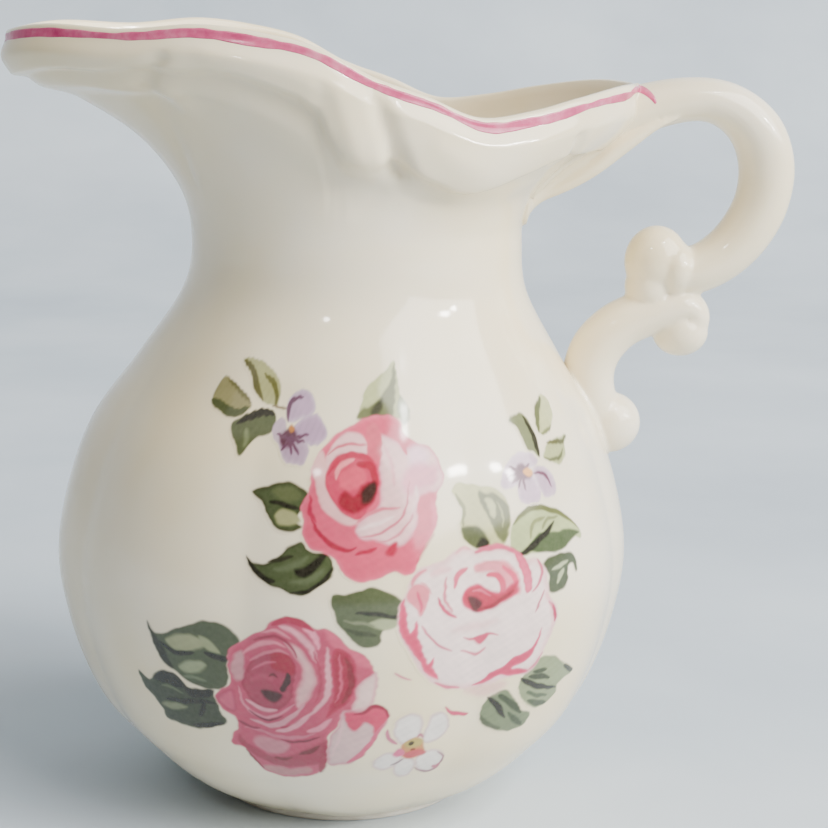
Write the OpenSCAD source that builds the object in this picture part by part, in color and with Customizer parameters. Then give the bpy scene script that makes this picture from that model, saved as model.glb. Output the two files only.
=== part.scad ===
// Porcelain cream jug with a fluted belly, a long scrolled mouth and an S-scroll handle.
// Millimetres, +Z up. The origin is the centre of the foot's underside.
// The spout points to -X, the handle to +X.

/* [Belly and neck] */
// Radius of the belly at its widest, on the crest of a flute
belly_r = 46; // [42:0.5:50]
// Height of the widest part of the belly above the table
belly_z = 43; // [40:1:46]
// Radius of the neck at its narrowest
neck_r = 26.2; // [24:0.2:28]
// Height of the narrowest part of the neck
neck_z = 91; // [89:0.5:93]
// How far the neck leans towards the handle
neck_lean = 1.8; // [0:0.1:2.5]
// Number of flutes round the belly
flutes = 8; // [6:2:12]
// Depth of the grooves between the flutes
groove_depth = 0.9; // [0:0.1:1.5]
// Thickness of the cast wall
wall = 2.6; // [2:0.1:3]

/* [Mouth] */
// Reach of the spout from the neck's centre line
spout_reach = 54.3; // [48:0.5:58]
// Reach of the rim's back from the neck's centre line
back_reach = 44.5; // [42:0.5:46]
// Half the width of the mouth
mouth_half_w = 30.5; // [29:0.5:33]
// Thickness of the wall at the lip
lip = 1.8; // [1.6:0.1:2.6]

/* [Handle] */
// Extra thickness all over the handle's scrolls
handle_swell = 0; // [-0.6:0.1:0.6]
// Radius of the upper curl
upper_curl_r = 5.3; // [4.5:0.1:5.6]
// Radius of the curl at the head of the lower scroll
lower_curl_r = 4.5; // [4:0.1:4.8]
// Radius of the curl at the foot of the handle
foot_curl_r = 5.2; // [4.5:0.1:5.6]

/* [Foot] */
// Radius of the bare foot
foot_r = 20.6; // [18:0.2:22]
// Height of the bare foot
foot_h = 2; // [1.5:0.1:2.5]

/* [Hidden] */

ROUND_STEPS = 64;      // facets round the jug
WALL_STEPS = 30;       // facets from the foot to the rim
LIP_STEPS = 4;         // facets over the rounded lip
TUBE_SIDES = 16;       // facets round the handle
TUBE_STEPS = 32;       // facets along each scroll of the handle
CURL_FN = 20;
FOOT_FN = 96;
FILM = 0.3;            // thickness of a fired transfer and of the enamel line
LINE_START = 2;        // steps round from the handle's middle to the end of the rim line
LUTE_T = 1.0;          // height of a luting collar above the wall
LUTE_W = 1.6;          // width of a luting collar round the handle
LUTE_TOP = 109;        // the upper collar stops under the lip
FADE_FROM = 55;        // the flutes fade out above this height
GROOVE_SOFTNESS = 0.25;
BELLY_ROW = 5;         // the widest row of LOWER_WALL
NECK_EASE = [1.2, -8.5]; // from the neck's narrowest point to the point below it
THIN_FROM = 0.88;      // share of the wall's height where it starts to thin to the lip
MOUTH_POWER = 1.8;     // 2 is an ellipse, and less is more pointed
SPOUT_FROM = 0.15;     // cosine from the spout where the spout's shape starts to show
SPOUT_OVER = 0.75;
BACK_FROM = 0.35;      // the same from the handle for the back's shape
BACK_OVER = 0.6;

glaze = [0.90, 0.88, 0.82];
bare_clay = [0.86, 0.82, 0.74];
pink_enamel = [0.80, 0.33, 0.48];
rose_pink = [0.85, 0.45, 0.52];
violet = [0.66, 0.55, 0.68];

// Height of the rim at each 15 degrees from the handle (first) round to the spout (last)
RIM_Z = [
    113.8, 113.9, 112.6, 110.9, 110.3, 113.4, 116.1, 120.1, 122.1, 123.1, 122.2, 122.6, 121.3,
];

// The wall from the foot to the neck, each [radius / belly_r, height]
LOWER_WALL = [
    [0.50, 2], [0.62, 5.5], [0.74, 10.5], [0.875, 18], [0.972, 30], [1, 43], [0.90, 60], [0.733, 72],
];

// The wall from the neck to the rim at the spout, side and back,
// each [share of the reach, share of the height]
SPOUT_WALL = [[0.067, 0.25], [0.28, 0.50], [0.60, 0.69], [0.84, 0.755], [0.975, 0.90], [1, 1]];
SIDE_WALL = [[0.04, 0.20], [0.20, 0.36], [0.60, 0.49], [0.86, 0.64], [0.96, 0.85], [1, 1]];
BACK_WALL = [[0.03, 0.18], [0.12, 0.33], [0.32, 0.47], [0.56, 0.60], [0.83, 0.78], [1, 1]];

// Centre line of the upper scroll, each [x, z, half thickness, half width]
HOOP = [
    [39, 103.5, 4.6, 4.4], [45.5, 109.6, 4.2, 4.4], [51, 112.0, 3.7, 4.4], [56.5, 112.7, 3.5, 4.5],
    [62, 111.2, 3.8, 4.6], [66.1, 107.4, 4.3, 4.7], [67.9, 102, 4.5, 4.7], [67.3, 96.3, 4.4, 4.7],
    [65, 91.6, 4.3, 4.7], [61.5, 87.8, 4.2, 4.7], [57, 85.5, 4.2, 4.7], [52, 85.2, 4.2, 4.7],
];
// Centre line of the lower scroll, from its head to the foot curl
STEM = [
    [54.5, 76.2, 3.6, 4.4], [52, 78, 3.6, 4.4], [48, 77.8, 3.9, 4.4], [44, 76, 4.2, 4.4],
    [40.6, 72.6, 4.4, 4.4], [39.6, 68.6, 4.3, 4.4], [40.4, 64, 4.2, 4.4], [42.4, 60.4, 4.2, 4.4],
];
// Outlines of the transfers seen from the side, each blob [x, z, half length, half width, tilt]
ROSES = [
    [1, 58.4, 10.6, 11.3, 0], [17.6, 41.6, 12.2, 11, 0], [-10, 29.8, 11.6, 12.4, 0],
    [7.8, 20.6, 5.6, 6, 0],
];
ROSE_LEAVES = [
    [4.2, 70.6, 5.4, 3.2, 75], [-13, 56.5, 5.2, 3.8, -20], [-10.3, 48.8, 6.6, 3, -8], [-1.4, 41, 5.8, 3.8, -20],
    [15.8, 54.8, 4.8, 5.2, 0], [27, 51.2, 5.6, 3.6, 15], [30, 44.4, 2.9, 3.4, 0], [27.6, 27.8, 5, 3.8, 30],
    [21.4, 24.2, 4, 3.8, 0], [-22.8, 34.4, 7.2, 4.2, -20], [-24, 26.6, 6.8, 4.2, -12], [0.4, 23, 4.6, 5.6, 0],
];
LEFT_VIOLET = [
    [-9.3, 67.2, 4.2, 5.6, 0], [-18.8, 70.8, 3.2, 3, 0], [-13.9, 73, 4.6, 2.6, 120],
    [-16.1, 66.8, 4, 2.8, 40],
];
RIGHT_VIOLET = [
    [25.2, 59.4, 4.2, 4.4, 0], [25, 64.8, 4, 1.9, 120], [28.8, 66.2, 2, 3.6, 0],
    [29.8, 61.9, 2.2, 2.6, 0],
];
UPPER_CURL = [50.6, 87];
LOWER_CURL = [54.4, 76.4];
FOOT_CURL = [43.2, 60];

function smooth(t) = let (x = min(max(t, 0), 1)) x * x * (3 - 2 * x);
function mix(a, b, t) = a * (1 - t) + b * t;

// The point at share t of the smooth curve through the points p
function curve(p, t) =
    let (n = len(p) - 1, x = min(max(t, 0), 1) * n, i = min(floor(x), n - 1), f = x - i)
    let (a = p[max(i - 1, 0)], b = p[i], c = p[i + 1], d = p[min(i + 2, n)])
    0.5 * (2 * b + (c - a) * f + (2 * a - 5 * b + 4 * c - d) * f * f + (3 * b - a - 3 * c + d) * f * f * f);

// Angle from the handle, 0 to 180 on either side
function turn(ang) = let (a = abs(ang) % 360) a > 180 ? 360 - a : a;

function oval(ang, reach, power) =
    pow(pow(abs(cos(ang) / reach), power) + pow(abs(sin(ang) / mouth_half_w), power), -1 / power);
function rim_r(ang) = oval(ang, cos(ang) < 0 ? spout_reach : back_reach, MOUTH_POWER);
function rim_z(ang) = curve(RIM_Z, turn(ang) / 180);
function spout_share(ang) = smooth((-cos(ang) - SPOUT_FROM) / SPOUT_OVER);
function back_share(ang) = smooth((cos(ang) - BACK_FROM) / BACK_OVER);

// The upright line of the wall at an angle, each [radius, height]
function upright(ang) =
    let (s = spout_share(ang), b = back_share(ang))
    let (low = LOWER_WALL[0][1], rise = (belly_z - foot_h) / (LOWER_WALL[BELLY_ROW][1] - low))
    concat(
        [for (p = LOWER_WALL) [p[0] * belly_r, foot_h + (p[1] - low) * rise]],
        [[neck_r, neck_z] + NECK_EASE, [neck_r, neck_z]],
        [for (i = [0 : len(SIDE_WALL) - 1])
            let (p = mix(mix(SIDE_WALL[i], SPOUT_WALL[i], s), BACK_WALL[i], b))
            [neck_r + p[0] * (rim_r(ang) - neck_r), neck_z + p[1] * (rim_z(ang) - neck_z)]]
    );

function groove(ang) =
    1 - norm([cos(ang * flutes / 2), GROOVE_SOFTNESS]) / norm([1, GROOVE_SOFTNESS]);
function groove_at(ang, p) =
    groove_depth * p[0] / belly_r * groove(ang) * (1 - smooth((p[1] - FADE_FROM) / (neck_z - FADE_FROM)));
function lean(z) = neck_lean * smooth((z - FADE_FROM) / (neck_z - FADE_FROM));

// The wall's point and its outward direction in the upright plane
function wall_point(ang, t) = let (p = curve(upright(ang), t)) [p[0] - groove_at(ang, p), p[1]];
function wall_out(ang, t) =
    let (d = 0.004, v = wall_point(ang, min(t + d, 1)) - wall_point(ang, max(t - d, 0)))
    [v[1], -v[0]] / norm(v);
function wall_at(t) = mix(wall, lip, smooth((t - THIN_FROM) / (1 - THIN_FROM)));
function placed(ang, p) = [p[0] * cos(ang) + lean(p[1]), p[0] * sin(ang), p[1]];

// The wall's outer face moved out by grow, then the rounded lip as far as share_of_lip
function skin_rings(grow, share_of_lip) =
    concat(
        [for (k = [0 : WALL_STEPS]) [for (j = [0 : ROUND_STEPS - 1])
            let (ang = j * 360 / ROUND_STEPS, t = k / WALL_STEPS)
            placed(ang, wall_point(ang, t) + grow * wall_out(ang, t))]],
        [for (k = [1 : LIP_STEPS * share_of_lip]) [for (j = [0 : ROUND_STEPS - 1])
            let (ang = j * 360 / ROUND_STEPS, o = wall_out(ang, 1), a = k * 180 / LIP_STEPS)
            let (centre = wall_point(ang, 1) - o * lip / 2, up = [-o[1], o[0]])
            placed(ang, centre + (lip / 2 + grow) * (o * cos(a) + up * sin(a)))]]
    );
function cavity_rings() =
    [for (k = [WALL_STEPS - 1 : -1 : 0]) [for (j = [0 : ROUND_STEPS - 1])
        let (ang = j * 360 / ROUND_STEPS, t = k / WALL_STEPS)
        placed(ang, wall_point(ang, t) - wall_at(t) * wall_out(ang, t))]];

function middle(ring) = [for (p = ring) 1] * ring / len(ring);

// A closed solid through rings of points, with a cap at each end
module lofted(rings) {
    n = len(rings[0]);
    m = len(rings);
    points = concat([for (r = rings) for (p = r) p], [middle(rings[0]), middle(rings[m - 1])]);
    sides = [for (k = [0 : m - 2]) for (j = [0 : n - 1])
        let (a = k * n + j, b = k * n + (j + 1) % n, c = a + n, d = b + n)
        each [[a, c, b], [b, c, d]]];
    caps = [for (j = [0 : n - 1])
        let (a = j, b = (j + 1) % n, c = (m - 1) * n)
        each [[m * n, a, b], [m * n + 1, c + b, c + a]]];
    polyhedron(points, concat(sides, caps));
}

// The jug's whole outside as a filled solid, moved out by grow
module filled(grow) lofted(skin_rings(grow, 0.5));

// A tube along a line of [x, z, half thickness, half width] in the plane of symmetry
module scroll(line, grow) {
    rings = [for (k = [0 : TUBE_STEPS])
        let (t = k / TUBE_STEPS, d = 0.01)
        let (c = curve(line, t), v = curve(line, min(t + d, 1)) - curve(line, max(t - d, 0)))
        let (along = [v[0], v[1]] / norm([v[0], v[1]]), across = [-along[1], along[0]])
        [for (j = [0 : TUBE_SIDES - 1])
            let (a = j * 360 / TUBE_SIDES, q = (c[2] + grow) * cos(a), w = -(c[3] + grow) * sin(a))
            [c[0] + across[0] * q, w, c[1] + across[1] * q]]];
    lofted(rings);
}

module curl(at, radius) translate([at[0], 0, at[1]]) sphere(r = radius, $fn = CURL_FN);

module upper_scroll(grow) {
    scroll(HOOP, grow + handle_swell);
    curl(UPPER_CURL, upper_curl_r + grow);
}

module lower_scroll(grow) {
    scroll(STEM, grow + handle_swell);
    curl(LOWER_CURL, lower_curl_r + grow);
    curl(FOOT_CURL, foot_curl_r + grow);
}

// One mesh from several faceted shapes
module as_one() resize([0, 0, 0]) children();

module collar(grow) {
    difference() {
        intersection() {
            filled(LUTE_T);
            children(0);
        }
        filled(0);
        children(1);
    }
}

// The film of a printed transfer, laid on the side that faces -Y
module transfer(blobs) {
    as_one() difference() {
        intersection() {
            filled(FILM);
            rotate([90, 0, 0]) linear_extrude(belly_r + wall) offset(r = 0.5, $fn = 16)
                for (b = blobs) translate([b[0], b[1]]) rotate(b[4]) scale([b[2], b[3]]) circle(1, $fn = 20);
        }
        filled(0);
    }
}

module body() color(glaze) lofted(concat(skin_rings(0, 1), cavity_rings()));

module foot() color(bare_clay) cylinder(r = foot_r, h = foot_h, $fn = FOOT_FN);

module handle() color(glaze) as_one() difference() {
    union() {
        upper_scroll(0);
        lower_scroll(0);
    }
    filled(0);
}

// The collar runs under the root's end as well as beside it, and stops below the lip
module upper_luting_joint() color(glaze) as_one() difference() {
    collar() {
        union() {
            upper_scroll(LUTE_W);
            curl([HOOP[0][0], HOOP[0][1]], HOOP[0][3] + handle_swell + LUTE_W);
        }
        upper_scroll(0);
    }
    translate([0, -belly_r, LUTE_TOP]) cube(2 * belly_r);
}

module lower_luting_joint() color(glaze) as_one() collar() {
    lower_scroll(LUTE_W);
    lower_scroll(0);
}

module rim_line() {
    color(pink_enamel) lofted([for (j = [LINE_START : ROUND_STEPS - LINE_START])
        let (ang = j * 360 / ROUND_STEPS, low = (WALL_STEPS - 1) / WALL_STEPS)
        [for (q = [[low, 0], [1, 0], [1, FILM], [low, FILM]])
            placed(ang, wall_point(ang, q[0]) + q[1] * wall_out(ang, q[0]))]]);
}

module rose_spray_transfer() color(rose_pink) transfer(concat(ROSES, ROSE_LEAVES));

module left_violet_transfer() color(violet) transfer(LEFT_VIOLET);

module right_violet_transfer() color(violet) transfer(RIGHT_VIOLET);

body();
foot();
handle();
upper_luting_joint();
lower_luting_joint();
rim_line();
rose_spray_transfer();
left_violet_transfer();
right_violet_transfer();
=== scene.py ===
"""Porcelain cream jug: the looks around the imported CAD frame."""
import math

import bmesh
import bpy
import numpy as np
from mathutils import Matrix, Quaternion, Vector
from mathutils.bvhtree import BVHTree


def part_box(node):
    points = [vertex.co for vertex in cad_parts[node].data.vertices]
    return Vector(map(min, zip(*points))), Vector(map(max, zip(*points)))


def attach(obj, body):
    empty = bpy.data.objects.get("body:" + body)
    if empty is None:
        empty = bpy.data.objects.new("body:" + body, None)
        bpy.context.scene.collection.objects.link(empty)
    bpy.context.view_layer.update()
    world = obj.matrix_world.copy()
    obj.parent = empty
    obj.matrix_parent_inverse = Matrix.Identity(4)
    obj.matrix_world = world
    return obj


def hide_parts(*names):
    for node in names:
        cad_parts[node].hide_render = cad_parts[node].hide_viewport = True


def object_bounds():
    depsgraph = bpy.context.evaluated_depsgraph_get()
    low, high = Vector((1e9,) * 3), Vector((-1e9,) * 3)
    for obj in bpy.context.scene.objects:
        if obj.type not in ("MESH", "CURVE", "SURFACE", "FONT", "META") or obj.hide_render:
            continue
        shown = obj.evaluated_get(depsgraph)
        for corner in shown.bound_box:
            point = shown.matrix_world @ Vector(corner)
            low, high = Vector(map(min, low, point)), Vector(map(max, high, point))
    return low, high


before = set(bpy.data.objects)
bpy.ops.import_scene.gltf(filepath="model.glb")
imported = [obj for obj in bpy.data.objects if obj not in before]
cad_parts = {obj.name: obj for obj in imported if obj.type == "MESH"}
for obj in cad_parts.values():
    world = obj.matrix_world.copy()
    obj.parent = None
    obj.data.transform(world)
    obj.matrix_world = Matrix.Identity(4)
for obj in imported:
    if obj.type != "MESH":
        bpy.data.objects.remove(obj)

MM = 0.001
CAD_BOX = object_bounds()
BODY_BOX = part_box("body")
FOOT_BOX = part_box("foot")

# Driving dimensions in millimetres, the same as the CAD's but for the grooves, which are cut a little crisper
BELLY_R = (BODY_BOX[1].y - BODY_BOX[0].y) / 2 / MM
BELLY_Z = 43.0
NECK_R = 26.2
NECK_Z = 91.0
NECK_LEAN = 1.8
FLUTES = 8
GROOVE_DEPTH = 1.4
GROOVE_SOFTNESS = 0.16
WALL = 2.6
LIP = 1.8
THIN_FROM = 0.88
SPOUT_REACH = 54.3
BACK_REACH = 44.5
MOUTH_HALF_W = 30.5
FADE_FROM = 55.0
FOOT_R = (FOOT_BOX[1].y - FOOT_BOX[0].y) / 2 / MM
FOOT_H = (FOOT_BOX[1].z - FOOT_BOX[0].z) / MM

# Height of the rim at each 15 degrees from the handle round to the spout
RIM_Z = np.array([113.8, 113.9, 112.6, 110.9, 110.3, 113.4, 116.1, 120.1, 122.1, 123.1, 122.2, 122.6,
    121.3])
LOWER_WALL = np.array([[0.50, 2], [0.62, 5.5], [0.74, 10.5], [0.875, 18], [0.972, 30], [1, 43], [0.90, 60],
    [0.733, 72]])
SPOUT_WALL = np.array([[0.067, 0.25], [0.28, 0.50], [0.60, 0.69], [0.84, 0.755], [0.975, 0.90], [1, 1]])
SIDE_WALL = np.array([[0.04, 0.20], [0.20, 0.36], [0.60, 0.49], [0.86, 0.64], [0.96, 0.85], [1, 1]])
BACK_WALL = np.array([[0.03, 0.18], [0.12, 0.33], [0.32, 0.47], [0.56, 0.60], [0.83, 0.78], [1, 1]])


# ---------------------------------------------------------------- shape of the jug

def smooth(t):
    x = np.clip(t, 0, 1)
    return x * x * (3 - 2 * x)


def curve(points, t):
    """Points at shares t of the smooth curve through the given points, which run along the first axis."""
    n = len(points) - 1
    x = np.clip(t, 0, 1) * n
    i = np.minimum(np.floor(x).astype(int), n - 1)
    f = (x - i).reshape(np.shape(x) + (1,) * (points.ndim - 1))
    a, b = points[np.maximum(i - 1, 0)], points[i]
    c, d = points[i + 1], points[np.minimum(i + 2, n)]
    return 0.5 * (2 * b + (c - a) * f + (2 * a - 5 * b + 4 * c - d) * f**2 + (3 * b - a - 3 * c + d) * f**3)


def turn(ang):
    """Angle from the handle, 0 to 180 degrees on either side."""
    a = np.abs(ang) % 360
    return np.where(a > 180, 360 - a, a)


def rim_r(ang):
    c, s = np.cos(np.radians(ang)), np.sin(np.radians(ang))
    reach = np.where(c < 0, SPOUT_REACH, BACK_REACH)
    return (np.abs(c / reach) ** 1.8 + np.abs(s / MOUTH_HALF_W) ** 1.8) ** (-1 / 1.8)


def rim_z(ang):
    return curve(RIM_Z, turn(ang) / 180)


def lean(z):
    return NECK_LEAN * smooth((z - FADE_FROM) / (NECK_Z - FADE_FROM))


def groove(ang):
    c = np.cos(np.radians(ang * FLUTES / 2))
    return 1 - np.sqrt(c**2 + GROOVE_SOFTNESS**2) / math.sqrt(1 + GROOVE_SOFTNESS**2)


def groove_at(ang, r, z):
    return GROOVE_DEPTH * r / BELLY_R * groove(ang) * (1 - smooth((z - FADE_FROM) / (NECK_Z - FADE_FROM)))


def upright(ang):
    """The upright line of the wall at one angle, [radius, height] a row."""
    c = math.cos(math.radians(ang))
    s, b = smooth((-c - 0.15) / 0.75), smooth((c - 0.35) / 0.6)
    upper = (SIDE_WALL * (1 - s) + SPOUT_WALL * s) * (1 - b) + BACK_WALL * b
    reach = np.array([rim_r(ang) - NECK_R, rim_z(ang) - NECK_Z])
    low = LOWER_WALL * [BELLY_R, BELLY_Z / 43]
    return np.vstack([low, [[NECK_R + 1.2, NECK_Z - 8.5], [NECK_R, NECK_Z]],
        [NECK_R, NECK_Z] + upper * reach])


# Moulded border: how far below the rim its raised band reaches, each [angle from the handle, mm]
BAND_EDGE = np.array([
    [0, 9], [20, 8], [30, 7.2], [37, 7.4], [47, 8.2], [56, 9.2], [66, 10.6], [76, 10.9], [82, 10], [85, 10],
    [88, 11.4], [92, 13], [96, 13.8], [99, 13.6], [102.5, 11.2], [105, 8.3], [110, 7.1], [117, 6.4],
    [124, 5.7],
    [132, 5.4], [137, 5.9], [142, 5.2], [148, 4.4], [155, 5], [165, 5.2], [180, 5.6],
])
BAND_H = 1.5
BAND_SOFT = 1.7
EDGE_DIP = 0.25      # mm that the wall sinks just below the band
FOOT_SOFT = 0.9      # how much softer the band's edge is at the foot of the front scroll
BORDER_MM = 0.56     # mm round the rim a degree, for the border's detail
# Creases (negative) and beads (positive) on it, each [[angle, mm below the rim], ...], half width and height
BORDER_LINES = [
    ([(89, 2.5), (87, 5.5), (84.5, 8.5), (82.5, 11.5)], 1.7, -1.1),
    ([(84, 9.2), (82.5, 10.4)], 1.6, -0.7),
    ([(99, 4.5), (97, 7.5), (95, 10.5)], 2.2, 0.5),
    ([(141, 3.4), (145, 5.2), (148, 7.4)], 0.9, -0.8),
    ([(143, 9), (142.5, 9.8)], 1.6, 0.6),
    ([(148, 8), (154, 14), (158, 21)], 2.0, -0.4),
    ([(31, 4), (29.5, 6), (29, 8.4)], 0.9, -0.6),
    ([(72, 5.5), (63, 6), (54, 5.2), (45, 4.6)], 2.6, 0.35),
    ([(130, 2.9), (117, 3.4), (107, 4.2)], 1.6, 0.3),
]


def relief(ang, below):
    """Height of the moulded border at an angle and depths in mm below the rim."""
    a = turn(ang)
    edge = np.interp(a, BAND_EDGE[:, 0], BAND_EDGE[:, 1])
    slope = (np.interp(a + 1, *BAND_EDGE.T) - np.interp(a - 1, *BAND_EDGE.T)) / (2 * BORDER_MM)
    soft = BAND_SOFT * math.hypot(1, slope) * (1 + FOOT_SOFT * math.exp(-(((a - 96) / 8) ** 2)))
    total = BAND_H * smooth((edge - below) / soft + 0.5)
    total -= EDGE_DIP * smooth(1 - np.abs(below - edge - soft) / (2 * soft))
    for path, half, height in BORDER_LINES:
        line = curve(np.array(path, float), np.linspace(0, 1, 24))
        across = (a - line[:, 0]) * BORDER_MM
        far = np.hypot(across, below[:, None] - line[:, 1]).min(1)
        total = total + height * np.exp(-((far / half) ** 2))
    return total * smooth(below / 3.2)


def wall_lines(ang, shares):
    """Outer wall and its outward direction in the upright plane, for one angle."""
    line = upright(ang)
    fine = np.linspace(0, 1, 900)
    p = curve(line, fine)
    p[:, 0] -= groove_at(ang, p[:, 0], p[:, 1])
    v = np.gradient(p, axis=0)
    out = np.stack([v[:, 1], -v[:, 0]], 1) / np.linalg.norm(v, axis=1)[:, None]
    bump = relief(ang, rim_z(ang) - p[:, 1])
    bump *= smooth((p[:, 1] - NECK_Z - 2) / 5)
    steps = np.stack([np.interp(shares, fine, q) for q in (p[:, 0], p[:, 1], out[:, 0], out[:, 1], bump)])
    return steps[0:2].T, steps[2:4].T, steps[4]


def placed(ang, p):
    """Upright-plane points [radius, height] in mm to places in metres."""
    a = math.radians(ang)
    x = p[:, 0] * math.cos(a) + lean(p[:, 1])
    return np.stack([x, p[:, 0] * math.sin(a), p[:, 1]], 1) * MM


# ---------------------------------------------------------------- meshes

def mesh_object(name, points, faces, node, replaces=True):
    mesh = bpy.data.meshes.new(name)
    mesh.from_pydata([tuple(p) for p in points], [], faces)
    mesh.validate()
    mesh.shade_smooth()
    obj = bpy.data.objects.new(name, mesh)
    bpy.context.scene.collection.objects.link(obj)
    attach(obj, "root")
    if replaces:
        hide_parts(node)
    return obj


def ring_faces(count, around, closed=True):
    faces = []
    last = around if closed else around - 1
    for k in range(count - 1):
        for j in range(last):
            a, b = k * around + j, k * around + (j + 1) % around
            faces.append((a, b, b + around, a + around))
    return faces


def make_body():
    around, lip = 384, 10
    shares = np.concatenate([np.linspace(0, 0.58, 80, endpoint=False), np.linspace(0.58, 1, 110)])
    inner = np.linspace(1, 0, 52)[1:]
    rows = len(shares) + lip + len(inner)
    grid = np.zeros((rows, around, 3))
    for j in range(around):
        even = j * 360 / around
        ang = even + math.degrees(0.6 * math.sin(math.radians(FLUTES * even)) / FLUTES)
        p, out, bump = wall_lines(ang, shares)
        outer = p + out * bump[:, None]
        o = out[-1]
        up = np.array([-o[1], o[0]])
        turns = np.linspace(0, np.pi, lip + 2)[1:-1, None]
        centre = p[-1] - o * LIP / 2
        edge = centre + LIP / 2 * (o * np.cos(turns) + up * np.sin(turns))
        q, qo, qb = wall_lines(ang, inner)
        thick = WALL + (LIP - WALL) * smooth((inner - THIN_FROM) / (1 - THIN_FROM))
        cavity = q - qo * thick[:, None] + qo * qb[:, None] * 0.35
        grid[:, j] = placed(ang, np.vstack([outer, edge, cavity]))
    points = list(grid.reshape(-1, 3))
    faces = ring_faces(rows, around)
    for row, flip in ((0, True), (rows - 1, False)):
        centre = len(points)
        points.append(grid[row].mean(0))
        for j in range(around):
            a, b = row * around + j, row * around + (j + 1) % around
            faces.append((b, a, centre) if flip else (a, b, centre))
    return mesh_object("body_shell", points, faces, "body")


LINE_W = 1.35
LINE_START = 8.0     # degrees from the handle's middle to the end of the line
LINE_LIFT = 0.06


def rim_profile(ang):
    """Top of the wall and outer quarter of the lip: points, outward directions and lengths."""
    p, out, bump = wall_lines(ang, np.linspace(0.9, 1, 60))
    p = p + out * bump[:, None]
    o = out[-1]
    up = np.array([-o[1], o[0]])
    turns = np.linspace(0, np.pi / 2, 20)[1:, None]
    over = o * np.cos(turns) + up * np.sin(turns)
    points = np.vstack([p, p[-1] - o * LIP / 2 + LIP / 2 * over])
    outs = np.vstack([out, over])
    run = np.concatenate([[0], np.cumsum(np.linalg.norm(np.diff(points, axis=0), axis=1))])
    return points, outs, run - run[len(p) - 1]


# The brush's last stroke, from the end of the line on to the handle's root, [x, z, width] in mm
LINE_TAIL = np.array([[43.4, 114.0, 0.9], [45.0, 114.5, 1.2], [46.6, 114.2, 1.2], [47.8, 113.2, 0.9],
    [48.4, 112.2, 0.4]])


def line_tail(surfaces):
    """A film laid on the surfaces along the tail, as seen square from the side."""
    trees = [BVHTree.FromPolygons([v.co for v in o.data.vertices],
        [p.vertices for p in o.data.polygons]) for o in surfaces]
    steps, across = 40, 5
    points = []
    for k in range(steps + 1):
        t = k / steps
        x, z, width = curve(LINE_TAIL, np.array(t))
        v = curve(LINE_TAIL, np.array(min(t + 0.02, 1))) - curve(LINE_TAIL, np.array(max(t - 0.02, 0)))
        side = np.array([-v[1], v[0]]) / np.linalg.norm(v[:2])
        for u in np.linspace(-0.5, 0.5, across):
            at = Vector(((x + side[0] * u * width) * MM, -0.03, (z + side[1] * u * width) * MM))
            hits = [h for h in (tree.ray_cast(at, Vector((0, 1, 0)), 0.03) for tree in trees) if h[0]]
            if not hits:
                return [], []
            place, normal = min(hits, key=lambda h: h[3])[:2]
            outward = 1 if normal.y < 0 else -1
            lift = (LINE_LIFT * math.cos(math.pi * u) + 0.01) * MM
            points.append(tuple(place + normal * lift * outward))
    faces = [(k * across + j, k * across + j + 1, (k + 1) * across + j + 1, (k + 1) * across + j)
             for k in range(steps) for j in range(across - 1)]
    return points, faces


def make_rim_line(surfaces):
    around, across = 900, 9
    rng = np.random.default_rng(4)
    phase = rng.uniform(0, 2 * np.pi, 6)
    rings = []
    for j in range(around + 1):
        ang = LINE_START + (360 - 2 * LINE_START) * j / around
        waves = [math.sin(math.radians(ang) * n + f) for n, f in zip((5, 9, 17, 29, 47, 71), phase)]
        broad, fine = sum(waves[:3]) / 3, sum(waves[3:]) / 3
        taper = math.sin(min(1, (min(j, around - j) + 3) / 24) * math.pi / 2)
        width = LINE_W * taper * (1 + 0.30 * broad + 0.12 * fine)
        top = 0.42 + 0.10 * fine
        points, outs, run = rim_profile(ang)
        spots = np.linspace(top - width, top, across)
        q = np.stack([np.interp(spots, run, points[:, i]) for i in (0, 1)], 1)
        o = np.stack([np.interp(spots, run, outs[:, i]) for i in (0, 1)], 1)
        lift = LINE_LIFT * np.sin(np.linspace(0, np.pi, across))[:, None] + 0.008
        rings.append(placed(ang, np.vstack([q + o * lift, (q - o * 0.2)[::-1]])))
    grid = np.array(rings)
    n = grid.shape[1]
    faces = ring_faces(len(grid), n)
    faces += [tuple(range(n)), tuple(reversed(range((len(grid) - 1) * n, len(grid) * n)))]
    points = [tuple(q) for q in grid.reshape(-1, 3)]
    tail, tail_faces = line_tail(surfaces)
    faces += [tuple(i + len(points) for i in f) for f in tail_faces]
    return mesh_object("rim_line_enamel", points + tail, faces, "rim_line")


def make_foot():
    edge, around = 0.7, 192
    turns = np.linspace(0, np.pi / 2, 8)
    low = [(FOOT_R - edge + edge * math.sin(t), edge - edge * math.cos(t)) for t in turns]
    profile = np.array([(0, 0), (FOOT_R * 0.5, 0)] + low + [(FOOT_R, FOOT_H), (FOOT_R * 0.5, FOOT_H),
        (0, FOOT_H)])
    points, faces = [], []
    for r, z in profile[1:-1]:
        for j in range(around):
            a = 2 * math.pi * j / around
            points.append((r * math.cos(a) * MM, r * math.sin(a) * MM, z * MM))
    faces = ring_faces(len(profile) - 2, around)
    for row, z, flip in ((0, 0, True), (len(profile) - 3, FOOT_H, False)):
        centre = len(points)
        points.append((0, 0, z * MM))
        for j in range(around):
            a, b = row * around + j, row * around + (j + 1) % around
            faces.append((b, a, centre) if flip else (a, b, centre))
    return mesh_object("foot_disc", points, faces, "foot")


# ---------------------------------------------------------------- handle

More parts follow.
